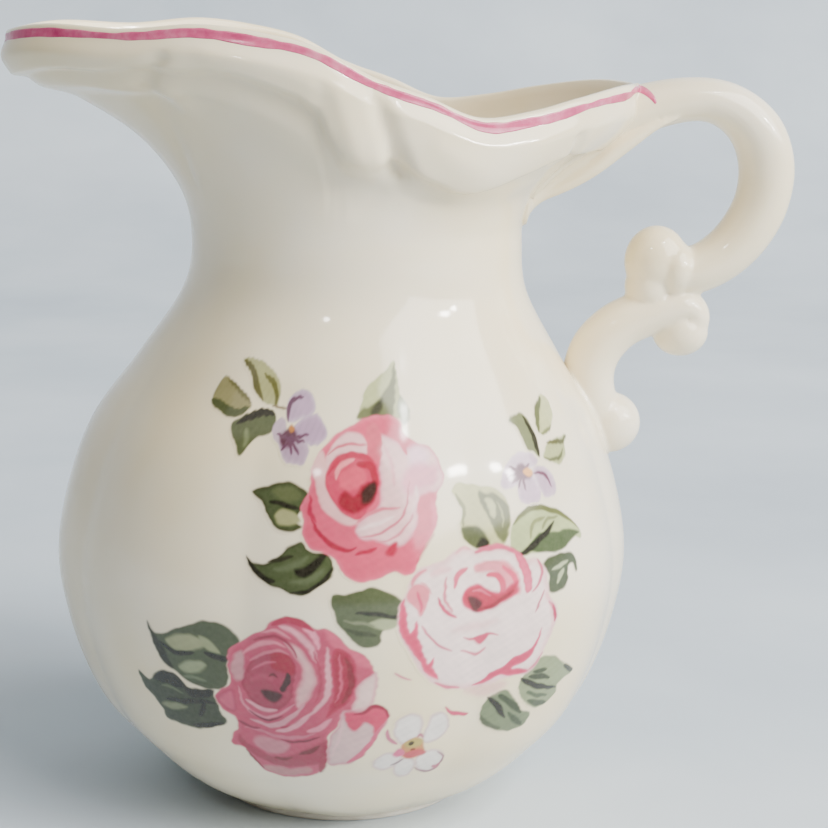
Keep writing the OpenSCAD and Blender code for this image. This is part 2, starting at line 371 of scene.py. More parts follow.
# Centre lines in the plane of symmetry, each [x, z, half thickness, half width]
HOOP = np.array([
    [29.0, 100.2, 4.4, 4.8], [35.2, 103.5, 4.5, 4.7], [41.7, 108.8, 4.3, 4.5], [49.2, 111.7, 3.8, 4.4],
    [56.6, 112.7, 3.5, 4.5], [62, 111.2, 3.8, 4.6], [66.1, 107.4, 4.3, 4.7], [67.9, 102, 4.5, 4.7],
    [67.3, 96.3, 4.4, 4.7], [65, 91.6, 4.3, 4.7], [61.5, 87.8, 4.1, 4.7], [57.2, 85.4, 3.9, 4.7],
    [53, 84.9, 3.7, 4.5],
])
STEM = np.array([
    [48.2, 77.8, 3.8, 4.4], [44.4, 76.0, 4.0, 4.4], [41.2, 72.6, 4.2, 4.4], [39.9, 68.6, 4.2, 4.4],
    [40.4, 64.4, 4.1, 4.4], [42.0, 61.2, 4.0, 4.4],
])
LOWER_CURL = (54.9, 76.6)
# Rounded ends of the scrolls, each (x, z, half sizes along x, z and the width)
KNOBS = [
    (50.4, 86.7, 5.2, 5.8, 4.7), (49.1, 82.6, 3.7, 4.0, 4.2), (53.2, 85.6, 3.6, 4.7, 5.3),
        (54.8, 75.2, 4.6, 4.1, 4.5),
    (43.6, 60.1, 5.1, 5.0, 4.9),
]
# A bead along each side of the handle's upper root
BEAD = np.array([
    [27.5, 96.4, 0.9, 1.0], [33.4, 98.9, 1.2, 1.2], [38.4, 101.7, 1.4, 1.4], [43.6, 105.6, 1.4, 1.4],
    [48.2, 108.5, 0.9, 1.0], [52.0, 109.9, 0.3, 0.4],
])


JOINT_H = 1.0        # mm that a luting fillet stands out of the wall
JOINT_SPLIT_Z = 85.0


def spiral(centre, start_r, end_r, start_deg, sweep_deg, thick, count=9):
    """A run of centre-line points that winds round a centre."""
    rows = []
    for t in np.linspace(0, 1, count):
        r = start_r + (end_r - start_r) * t
        a = math.radians(start_deg + sweep_deg * t)
        h = thick[0] + (thick[1] - thick[0]) * t
        w = thick[2] + (thick[3] - thick[2]) * t
        rows.append((centre[0] + r * math.cos(a), centre[1] + r * math.sin(a), h, w))
    return np.array(rows)


def knob(bm, x, z, rx, rz, ry):
    ball = bmesh.ops.create_uvsphere(bm, u_segments=48, v_segments=24, radius=MM)
    for v in ball["verts"]:
        v.co = Vector((v.co.x * rx + x * MM, v.co.y * ry, v.co.z * rz + z * MM))


def tube(bm, line, steps=150, sides=32, aside=0.0):
    rings = []
    for k in range(steps + 1):
        t = k / steps
        c = curve(line, np.array(t))
        v = curve(line, np.array(min(t + 0.01, 1))) - curve(line, np.array(max(t - 0.01, 0)))
        along = v[:2] / np.linalg.norm(v[:2])
        across = np.array([-along[1], along[0]])
        ring = []
        for j in range(sides):
            a = 2 * math.pi * j / sides
            q, w = c[2] * math.cos(a), c[3] * math.sin(a)
            x, z = c[0] + across[0] * q, c[1] + across[1] * q
            ring.append(bm.verts.new((x * MM, (w + aside) * MM, z * MM)))
        rings.append(ring)
    for r, s in zip(rings, rings[1:]):
        for j in range(sides):
            bm.faces.new((r[j], s[j], s[(j + 1) % sides], r[(j + 1) % sides]))
    for ring, t, sign in ((rings[0], 0, -1), (rings[-1], 1, 1)):
        c = curve(line, np.array(float(t)))
        v = curve(line, np.array(1.0 if t else 0.02)) - curve(line, np.array(0.98 if t else 0.0))
        along = v[:2] / np.linalg.norm(v[:2])
        prev = ring
        for i in range(1, 7):
            a = i * math.pi / 14
            bulge = c[2] * math.sin(a) * sign
            centre = Vector(((c[0] + along[0] * bulge) * MM, aside * MM, (c[1] + along[1] * bulge) * MM))
            base = Vector((c[0] * MM, aside * MM, c[1] * MM))
            nxt = [bm.verts.new((v0.co - base) * math.cos(a) + centre) for v0 in ring]
            for j in range(sides):
                quad = (prev[j], nxt[j], nxt[(j + 1) % sides], prev[(j + 1) % sides])
                bm.faces.new(quad if sign > 0 else tuple(reversed(quad)))
            prev = nxt
        bm.faces.new(tuple(reversed(prev)) if sign > 0 else tuple(prev))


def wall_table():
    """Outer wall radius on a regular table of angle and height near the handle."""
    angs = np.linspace(-40, 40, 81)
    zs = np.linspace(45, 118, 293)
    fine = np.linspace(0, 1, 700)
    table = np.zeros((len(angs), len(zs)))
    for i, ang in enumerate(angs):
        p, out, bump = wall_lines(ang, fine)
        table[i] = np.interp(zs, p[:, 1], p[:, 0])
    return angs, zs, table


def above_wall(co, table):
    """How far points stand out of the wall, in mm, along the radius."""
    angs, zs, r = table
    p = co / MM
    x = p[:, 0] - lean(p[:, 2])
    ang, rad = np.degrees(np.arctan2(p[:, 1], x)), np.hypot(x, p[:, 1])
    fi = np.clip((ang - angs[0]) / (angs[1] - angs[0]), 0, len(angs) - 1.001)
    fj = np.clip((p[:, 2] - zs[0]) / (zs[1] - zs[0]), 0, len(zs) - 1.001)
    i, j = fi.astype(int), fj.astype(int)
    u, v = fi - i, fj - j
    wall = (r[i, j] * (1 - u) + r[i + 1, j] * u) * (1 - v) + (r[i, j + 1] * (1 - u) + r[i + 1,
        j + 1] * u) * v
    return rad - wall


def coords(mesh):
    co = np.empty(len(mesh.vertices) * 3)
    mesh.vertices.foreach_get("co", co)
    return co.reshape(-1, 3)


def make_handle():
    bm = bmesh.new()
    tube(bm, HOOP, steps=180)
    curl = spiral(LOWER_CURL, 0.3, 3.0, -150, 255, (1.9, 3.1, 2.6, 4.4), 12)
    tube(bm, np.vstack([curl, STEM]), steps=220)
    for side in (-3.5, 3.5):
        tube(bm, BEAD, steps=60, sides=20, aside=side)
    for sizes in KNOBS:
        knob(bm, *sizes)
    mesh = bpy.data.meshes.new("handle_raw")
    bm.to_mesh(mesh)
    bm.free()
    obj = bpy.data.objects.new("handle_scroll", mesh)
    bpy.context.scene.collection.objects.link(obj)
    for kind, settings in (
        ("REMESH", {"mode": "VOXEL", "voxel_size": 0.30 * MM}),
        ("SMOOTH", {"factor": 0.5, "iterations": 14}),
    ):
        mod = obj.modifiers.new(kind.lower(), kind)
        for key, value in settings.items():
            setattr(mod, key, value)
        with bpy.context.temp_override(object=obj, active_object=obj):
            bpy.ops.object.modifier_apply(modifier=mod.name)
    mesh = obj.data
    table = wall_table()
    co = coords(mesh)
    normals = np.empty(len(mesh.vertices) * 3)
    mesh.vertices.foreach_get("normal", normals)
    normals = normals.reshape(-1, 3)
    above = above_wall(co, table)
    high = smooth((co[:, 2] / MM - 92) / 4)
    fillet = 0.9 + high * 2.1 * (1 - smooth((co[:, 2] / MM - 106) / 5)) - 0.6 * high * smooth((co[:,
        2] / MM - 106) / 5)
    d = np.clip(above / fillet, 0, 1)
    flare = fillet * (1 - np.sqrt(1 - (1 - d) ** 2))
    side = normals.copy()
    radial = co.copy()
    radial[:, 2] = 0
    radial /= np.linalg.norm(radial, axis=1)[:, None]
    side -= radial * np.sum(side * radial, axis=1)[:, None]
    co = co + side * flare[:, None] * MM * (above < fillet)[:, None]
    above = above_wall(co, table)
    sink = np.clip(-above - 1.0, 0, None)
    co = co + radial * sink[:, None] * MM
    mesh.vertices.foreach_set("co", co.reshape(-1))
    mesh.update()
    return split_handle(obj, table)


def split_handle(whole, table):
    """Cut the surface into the handle and the fillets of slip at its two roots, shaded as one."""
    mesh = whole.data
    co = coords(mesh)
    normals = np.array([v.normal[:] for v in mesh.vertices])
    above = above_wall(co, table)
    faces = [tuple(f.vertices) for f in mesh.polygons]
    near = np.array([above[list(f)].mean() < JOINT_H for f in faces])
    upper = np.array([co[list(f), 2].mean() / MM > JOINT_SPLIT_Z for f in faces])
    pieces = []
    for name, node, take in (
        ("handle_scroll", "handle", ~near),
        ("upper_luting_fillet", "upper_luting_joint", near & upper),
        ("lower_luting_fillet", "lower_luting_joint", near & ~upper),
    ):
        kept = [f for f, t in zip(faces, take) if t]
        used = np.unique(np.concatenate([np.array(f) for f in kept]))
        place = {int(v): i for i, v in enumerate(used)}
        piece = mesh_object(name, co[used], [tuple(place[v] for v in f) for f in kept], node)
        piece.data.normals_split_custom_set_from_vertices([tuple(n) for n in normals[used]])
        pieces.append(piece)
    bpy.data.objects.remove(whole)
    return pieces


# ---------------------------------------------------------------- printed transfers

# Places on a transfer are [X, Z] in mm: X runs round the jug from its front's middle, Z is the height
FRONT = -90.0
ROUND = 0.8          # mm of X a degree
PITCH = 0.16
FILM = 0.02


def srgb(r, g, b):
    return np.array([(c / 255 / 12.92 if c < 10 else ((c / 255 + 0.055) / 1.055) ** 2.4) for c in (r, g,
        b)])


def closed(points, fine=8):
    p = np.array(points, float)
    n = len(p)
    ring = np.vstack([p[-1:], p, p[:2]])
    t = np.arange(n * fine) / fine
    i, f = t.astype(int), (t % 1)[:, None]
    a, b, c, d = ring[i], ring[i + 1], ring[i + 2], ring[i + 3]
    return 0.5 * (2 * b + (c - a) * f + (2 * a - 5 * b + 4 * c - d) * f**2 + (3 * b - a - 3 * c + d) * f**3)


def reach(px, pz, line):
    """Distance from each point to a line of points, and the share of the line where it is nearest."""
    best, share = np.full(len(px), 1e9), np.zeros(len(px))
    n = len(line) - 1
    for k in range(n):
        (ax, az), (bx, bz) = line[k], line[k + 1]
        dx, dz = bx - ax, bz - az
        s = np.clip(((px - ax) * dx + (pz - az) * dz) / (dx * dx + dz * dz + 1e-12), 0, 1)
        d = np.hypot(px - ax - s * dx, pz - az - s * dz)
        closer = d < best
        best[closer], share[closer] = d[closer], (k + s[closer]) / n
    return best, share


def inside(px, pz, ring):
    odd = np.zeros(len(px), bool)
    for (ax, az), (bx, bz) in zip(ring, np.roll(ring, -1, axis=0)):
        cross = (az > pz) != (bz > pz)
        odd ^= cross & (px < (bx - ax) * (pz - az) / (bz - az + 1e-12) + ax)
    return odd


class Transfer:
    """A picture painted in soft flat colours on a fine grid over part of the wall."""

    def __init__(self, x0, x1, z0, z1, seed):
        self.xs, self.zs = np.arange(x0, x1, PITCH), np.arange(z0, z1, PITCH)
        gx, gz = np.meshgrid(self.xs, self.zs)
        rng = np.random.default_rng(seed)
        self.x, self.z = gx.ravel(), gz.ravel()
        self.grain = np.zeros(self.x.shape)
        for size, amount in ((7.0, 0.08), (2.6, 0.05), (1.1, 0.03)):
            for _ in range(3):
                way, phase = rng.uniform(0, 2 * np.pi, 2)
                along = gx.ravel() * math.cos(way) + gz.ravel() * math.sin(way)
                wave = np.sin(along * 2 * np.pi / size + phase)
                self.x = self.x + amount * wave * math.sin(way)
                self.z = self.z + amount * wave * math.cos(way)
                self.grain = self.grain + wave / 9
        self.paint = np.zeros((len(self.x), 3))
        self.cover = np.zeros(len(self.x))

    def lay(self, near, amount, colour):
        amount = np.clip(amount, 0, 1)
        kept = self.cover[near] * (1 - amount)
        total = amount + kept
        mixed = colour * amount[:, None] + self.paint[near] * kept[:, None]
        self.paint[near] = mixed / np.maximum(total, 1e-6)[:, None]
        self.cover[near] = total

    def window(self, line, margin):
        low, high = line.min(0) - margin, line.max(0) + margin
        return np.flatnonzero((self.x > low[0]) & (self.x < high[0]) & (self.z > low[1]) & (self.z < high[1]))

    def blot(self, colour, points, soft=0.22, edge=None, edge_width=0.8, strength=1.0):
        """A soft-edged patch, which may be another colour at its edge."""
        ring = closed(points)
        near = self.window(ring, soft)
        px, pz = self.x[near], self.z[near]
        depth, _ = reach(px, pz, np.vstack([ring, ring[:1]]))
        depth = np.where(inside(px, pz, ring), depth, -depth)
        tone = srgb(*colour)[None].repeat(len(near), 0)
        if edge:
            share = smooth(1 - depth / edge_width)[:, None]
            tone = tone * (1 - share) + srgb(*edge) * share
        tone = tone * (1 + 0.10 * self.grain[near])[:, None]
        self.lay(near, strength * smooth(0.5 + 0.5 * depth / soft), tone)

    def stroke(self, colour, width, points, soft=0.2, strength=1.0, blunt=0.0):
        """A brush stroke that swells from its ends."""
        p = np.array(points, float)
        line = curve(p, np.linspace(0, 1, 10 * (len(p) - 1) + 1))
        near = self.window(line, width / 2 + soft)
        d, t = reach(self.x[near], self.z[near], line)
        half = width / 2 * (blunt + (1 - blunt) * np.sin(np.pi * np.clip(t, 0, 1)) ** 0.6)
        tone = srgb(*colour) * (1 + 0.10 * self.grain[near])[:, None]
        self.lay(near, strength * smooth(0.5 + 0.5 * (half - d) / soft), tone)

    def build(self, name, node, mat):
        angs = self.xs / ROUND + FRONT
        spots = np.zeros((len(self.zs), len(self.xs), 3))
        fine = np.linspace(0, 0.75, 700)
        for j, ang in enumerate(angs):
            p, out, _ = wall_lines(ang, fine)
            p = p + out * FILM
            r = np.interp(self.zs, p[:, 1], p[:, 0])
            spots[:, j] = placed(ang, np.stack([r, self.zs], 1))
        cols = len(self.xs)
        seen = (self.cover > 0.03).reshape(len(self.zs), cols)
        k, j = np.nonzero(seen[:-1, :-1] | seen[1:, :-1] | seen[:-1, 1:] | seen[1:, 1:])
        quads = np.stack([k * cols + j, k * cols + j + 1, (k + 1) * cols + j + 1, (k + 1) * cols + j], 1)
        used, flat = np.unique(quads, return_inverse=True)
        obj = mesh_object(name, spots.reshape(-1, 3)[used], flat.reshape(-1, 4).tolist(), node)
        layer = obj.data.color_attributes.new("paint", "FLOAT_COLOR", "POINT")
        layer.data.foreach_set("color", np.column_stack([self.paint, self.cover])[used].ravel())
        obj.data.materials.append(mat)
        return obj


def paint_upper_rose(t):
    pink, mid, deep, dark, pale = (216, 112, 124), (205, 92, 106), (178, 50, 70), (74, 10, 24), (234, 204,
        200)
    t.blot(pink, [(-4, 67.3), (0, 68.8), (4, 69.2), (6.5, 68.2), (7, 66.5), (9, 65.5), (11.5, 64.8),
        (12.8, 62.8),
                  (13.2, 60.5), (12, 58.8), (11.6, 57), (11.6, 54.8), (10.2, 53), (8.5, 50.5), (7.4, 48.2),
                      (5.8, 47.6),
                  (4.2, 48.3), (2, 47.4), (-0.5, 47), (-2.8, 47.8), (-4.3, 50), (-6, 50.8), (-8.2, 51.5),
                      (-9.4, 53.2),
                  (-9.3, 55.5), (-10, 57.3), (-9, 59), (-8.7, 61.5), (-7.5, 64.5), (-5.6, 66.3)],
                      edge=(222, 130, 140))
    t.blot(pale, [(2.4, 66.6), (5, 65.8), (7, 64.6), (9.5, 65.2), (11.5, 64.6), (12.8, 62.5), (13, 60),
        (11.8, 58.9),
                  (10, 58.8), (8.4, 58), (8.2, 55), (7, 52.8), (5, 51.8), (2, 52.5), (-0.9, 53), (-1.2, 55),
                      (1.8, 57),
                  (2.6, 60), (2.4, 63)], soft=0.35, edge=(228, 182, 184))
    t.blot((232, 200, 196), [(-6.5, 63.4), (-5.2, 65.8), (-3.4, 67), (-1.2, 66.9), (0.1, 65.8), (0.2, 64),
        (-2, 64.2),
                             (-4.5, 63.5), (-6, 62)], soft=0.3)
    t.blot((230, 194, 188), [(-8.6, 62.5), (-7.8, 60), (-7.2, 58), (-6, 56.4), (-4.2, 55.3), (-2.2, 54.8),
        (-1, 55.3),
                             (-1.5, 56.5), (-3.8, 57.4), (-5.1, 59), (-5.9, 60.5), (-6.3, 63),
                                 (-7.4, 64.4)], soft=0.3)
    t.blot((240, 208, 220), [(7.4, 64.6), (9.6, 65.1), (11, 63.8), (9.6, 62), (7.6, 62.4)], soft=0.8,
        strength=0.7)
    t.blot((228, 158, 172), [(6, 60.5), (7.8, 62.4), (10.4, 62.6), (12.4, 62), (11.4, 59.8), (9, 59.2),
        (7.2, 58.4)],
           soft=0.8, strength=0.75)
    t.stroke((206, 118, 124), 0.45, [(-6.2, 63.9), (-4.6, 65.1), (-2.6, 65.5), (0.2, 65.3)])
    t.stroke(pink, 1.0, [(1.6, 67.6), (4.2, 67), (6, 65.8), (7, 64)], blunt=0.4)
    t.blot((214, 120, 126), [(0.4, 68), (2.2, 67.6), (2.8, 65.8), (2.6, 63.8), (1.4, 63.4), (0.4, 65)],
        soft=0.3)
    t.stroke((224, 160, 164), 0.5, [(3.2, 65.2), (4.6, 62.6), (4.8, 60)], soft=0.35, strength=0.7)
    t.blot(mid, [(-6.4, 60.5), (-5.9, 62.6), (-4.5, 64), (-2.4, 64.5), (0, 64.2), (1.8, 63), (2.3, 61),
        (2, 58.8),
                 (0.6, 57), (-0.8, 55.7), (-2.6, 56), (-4.4, 57.4), (-5.6, 58.8)], edge=(200, 84, 100))
    t.stroke((190, 66, 84), 0.8, [(-6, 61.4), (-4.6, 63.3), (-2.2, 64.1), (0.4, 63.6), (1.6, 62.4)])
    t.stroke((236, 164, 160), 0.9, [(-4.6, 60.9), (-4.3, 62.4), (-3.2, 63.2), (-1.8, 63.5)])
    t.blot((218, 110, 118), [(-4, 61.8), (-2.4, 62.6), (-0.6, 62.4), (0.3, 61.2), (-0.4, 60), (-2.4, 59.5),
        (-4, 60.2)],
           soft=0.35)
    t.stroke(deep, 1.15, [(-1.4, 62.9), (0.8, 62.6), (1.6, 61), (1.4, 58.8)], blunt=0.3)
    t.blot((160, 38, 58), [(-4, 57.8), (-3, 59.4), (-1.5, 58.8), (-0.4, 60), (1, 60.3), (1.7, 59),
        (0.8, 57.5),
                           (-0.6, 56.7), (-2.2, 56.5)], soft=0.4)
    t.blot(dark, [(-0.5, 58.8), (0.2, 59.9), (1.5, 60.5), (1.9, 59.3), (0.9, 57.9), (-0.2, 57.6)], soft=0.4)
    t.stroke((176, 52, 74), 0.7, [(-8.2, 55.7), (-7, 53.7), (-5.6, 52.5), (-4.2, 51.8), (-2.6, 51.4),
        (-1.2, 51.7)])
    t.stroke((186, 66, 86), 0.6, [(-8.6, 58.6), (-8.4, 56.6), (-7.4, 55)])
    t.stroke((182, 56, 78), 0.55, [(-1.4, 50.8), (0.4, 51.1), (1.8, 51.5)])
    t.blot((186, 60, 80), [(3, 50.8), (4, 52.2), (4.9, 52.4), (4.8, 51.4), (4, 50.6)], soft=0.35)
    t.stroke((216, 136, 142), 0.55, [(-1.4, 55.2), (0.5, 56.2), (2.6, 56.9), (5.4, 57)])
    t.stroke((210, 134, 140), 0.45, [(-0.9, 53.2), (1.4, 53.3), (3.5, 54.2), (5.6, 55.6), (6.6, 57.6),
        (7.2, 60.4)])
    t.stroke((214, 146, 150), 0.35, [(1.6, 52.3), (4, 52.9), (6.4, 54.4), (7.8, 56.4), (8.1, 58.6)])
    t.stroke((244, 226, 222), 0.5, [(-1, 54.2), (1.6, 54.9), (4.4, 56)], soft=0.3, strength=0.8)
    t.stroke((244, 228, 224), 0.6, [(7.6, 56), (8.2, 58), (8.4, 59.8)], soft=0.35, strength=0.7)
    t.stroke((228, 140, 150), 0.9, [(10.8, 57.8), (11.2, 56), (10.8, 54.2)], soft=0.4, strength=0.7)
    t.stroke((198, 84, 100), 0.5, [(7.6, 49.2), (9, 51.2), (10.6, 53.2)], soft=0.3, strength=0.7)


def paint_pale_rose(t):
    white, rose, pink, deep = (240, 226, 220), (224, 140, 148), (212, 94, 114), (188, 56, 78)
    t.stroke((230, 200, 190), 2.4, [(16, 29.2), (19.6, 28.4), (24, 28.8)], soft=0.7, strength=0.8)
    t.blot(white, [(6, 45.5), (7.4, 48), (9.6, 48.8), (12, 49.3), (15, 50.6), (18, 50.2), (21, 50.4),
        (23.6, 49.6),
                   (25.6, 48), (28.2, 47.5), (29.6, 45.8), (30, 43), (30.4, 41.5), (31.9, 39.6),
                       (31.6, 37.2),
                   (30.6, 34.6), (29.4, 31.6), (27.4, 30), (24, 29.8), (20, 29.2), (16.5, 29), (13, 29.8),
                       (10.4, 31),
                   (8, 33.6), (6, 37), (4.6, 40.2), (4.8, 43.2)], soft=0.3, edge=(234, 206, 202),
                       edge_width=1.4)
    t.blot(pink, [(5.6, 44.6), (4.8, 42.6), (4.8, 40), (6.2, 37.2), (8, 34.6), (9.6, 32.4), (11.4, 31.4),
                  (10.4, 33.4), (10.2, 35), (9.4, 34.2), (8.4, 36.4), (7.8, 38.8), (7.6, 41), (6.5, 39.4),
                      (6, 42)],
           edge=(222, 120, 136), edge_width=0.6)
    t.blot((228, 154, 156), [(5.9, 44.8), (7.2, 46.2), (8.6, 46), (9.4, 45), (8.8, 43), (8.1, 41.6),
        (7.1, 43)])
    t.stroke((214, 108, 124), 0.5, [(7.4, 45.2), (8, 43.6), (8, 42.2)])
    t.stroke((224, 154, 158), 0.65, [(6.8, 45.9), (7.5, 47.3), (9.4, 48.2)])
    t.stroke((228, 172, 172), 0.4, [(8.2, 46.4), (9, 45.8), (9.6, 44.6)])
    t.stroke((206, 122, 134), 0.4, [(8.2, 40.2), (9.4, 38.6), (11, 37), (13.4, 35.8)])
    t.stroke((216, 136, 146), 0.55, [(10.8, 31), (12.6, 30.2), (15.2, 29.4)])
    t.stroke((228, 168, 170), 0.5, [(14, 49.8), (15.4, 50.5), (16.8, 50.3)], strength=0.7)
    t.blot((230, 164, 166), [(17.2, 46.9), (19, 46.9), (20.8, 46.5), (21.6, 45), (21.4, 43.6), (22.6, 42.8),
                             (24.4, 43), (24.9, 44.6), (24.4, 46.4), (22.6, 47.9), (20.6, 48.3),
                                 (18.6, 48.4),
                             (17, 47.9)], soft=0.35)
    t.stroke((216, 112, 124), 1.1, [(19.2, 46.4), (21, 46), (21.8, 44.4), (21.2, 43)], blunt=0.3)
    t.stroke((222, 120, 132), 1.0, [(22, 47.4), (23.6, 46), (24.3, 44.2)], blunt=0.3)
    t.blot(deep, [(14.7, 43.3), (15.6, 44.8), (17.4, 45.2), (19.2, 44.4), (21.2, 43.5), (23.2, 44.4),
        (24.5, 44.9),
                  (24.1, 43.2), (22.4, 42.3), (20.6, 41.7), (18.6, 41.2), (17, 41.2), (15.4, 42)],
           soft=0.3, edge=(204, 84, 104), edge_width=0.7)
    t.stroke(white, 0.75, [(15.5, 45.8), (17.4, 46), (19.2, 45.4), (20, 44.6)])
    t.blot((100, 16, 36), [(15.9, 43.5), (17.3, 43.4), (18.2, 42.4), (17.5, 41.3), (16.6, 41.4),
        (16.1, 42.4)], soft=0.35)
    t.stroke((158, 34, 58), 0.65, [(17.4, 41.6), (19.6, 41.8), (21.8, 42.7), (23.6, 43.5)])
    t.stroke((214, 120, 130), 0.4, [(16.6, 44.4), (18.2, 44.2), (19.6, 43.4)])
    t.stroke((216, 148, 152), 0.55, [(12.4, 47), (11.8, 45), (12.1, 43.2), (13.2, 41.6)])
    t.stroke((218, 130, 140), 0.85, [(13.5, 45.2), (14.1, 46.8), (15.8, 47.7)])
    t.stroke((206, 98, 116), 0.6, [(10.7, 44.2), (11.6, 42.4), (13.8, 40.7)])
    t.blot((222, 130, 144), [(25, 49), (26.4, 47.5), (27, 45.4), (26.7, 43.4), (25.6, 43.1), (25.5, 45),
        (25, 47),
                             (24.2, 48.6)], edge=(214, 112, 128), edge_width=0.5)
    t.stroke((216, 124, 138), 0.8, [(25.2, 48.6), (22.6, 49.9), (20, 50.2), (17.6, 49.8)], blunt=0.3)
    t.stroke((224, 160, 160), 0.35, [(17.4, 47.8), (20, 48.2), (22, 47.6), (24, 46.4)])
    t.stroke((206, 126, 136), 0.55, [(26.8, 42.9), (28.3, 44.2), (28.9, 46.2), (28.2, 47.5)])
    t.stroke((188, 80, 102), 0.8, [(30.1, 40.9), (31.3, 39.3), (31.2, 37.4)])
    t.stroke((196, 124, 132), 0.4, [(27.4, 39.6), (28.2, 41), (29.2, 42.8)])
    t.stroke((232, 190, 188), 0.6, [(29.4, 42.4), (30.4, 40.6), (31, 36)], soft=0.4, strength=0.6)
    t.stroke((206, 116, 126), 0.4, [(14.9, 37.6), (16.8, 37), (19.2, 37.6), (21.2, 37.1)])
    t.blot((204, 100, 116), [(16.8, 37), (18, 36), (19.2, 37.2), (19, 37.8), (18, 37.4)], soft=0.25)
    t.stroke((212, 140, 146), 0.45, [(14.8, 35.6), (16.6, 34.9), (17.8, 34.6), (19.1, 35.5)])
    t.blot((204, 88, 110), [(17.4, 29.3), (19.6, 30.3), (20.6, 31.3), (22.6, 31.7), (24, 32.9), (26, 33.5),
                            (27.7, 34.4), (28.7, 37), (28.5, 34.6), (27.4, 32.6), (25.4, 31.6),
                                (24.4, 31.1),
                            (26.4, 30.9), (27.3, 30.2), (24.6, 29.9), (22, 30.4), (19.6, 29.5)],
           soft=0.2, edge=(214, 112, 130), edge_width=0.5)
    t.stroke((214, 146, 154), 0.45, [(27.2, 30.2), (28.9, 31.3), (29.9, 32.8)])
    t.stroke((226, 174, 176), 0.9, [(9.8, 47.4), (11.2, 47.9), (13.2, 48)], soft=0.5, strength=0.5)
    t.stroke((228, 180, 178), 1.2, [(13, 39), (17, 39), (21, 39.6)], soft=0.7, strength=0.35)
    t.stroke((214, 148, 154), 0.45, [(4.4, 33.3), (5.6, 32.5), (7.2, 32)])
    t.stroke((206, 100, 120), 0.8, [(13.4, 26.6), (14.6, 25.4), (16.6, 24.7), (17.8, 24.6)])


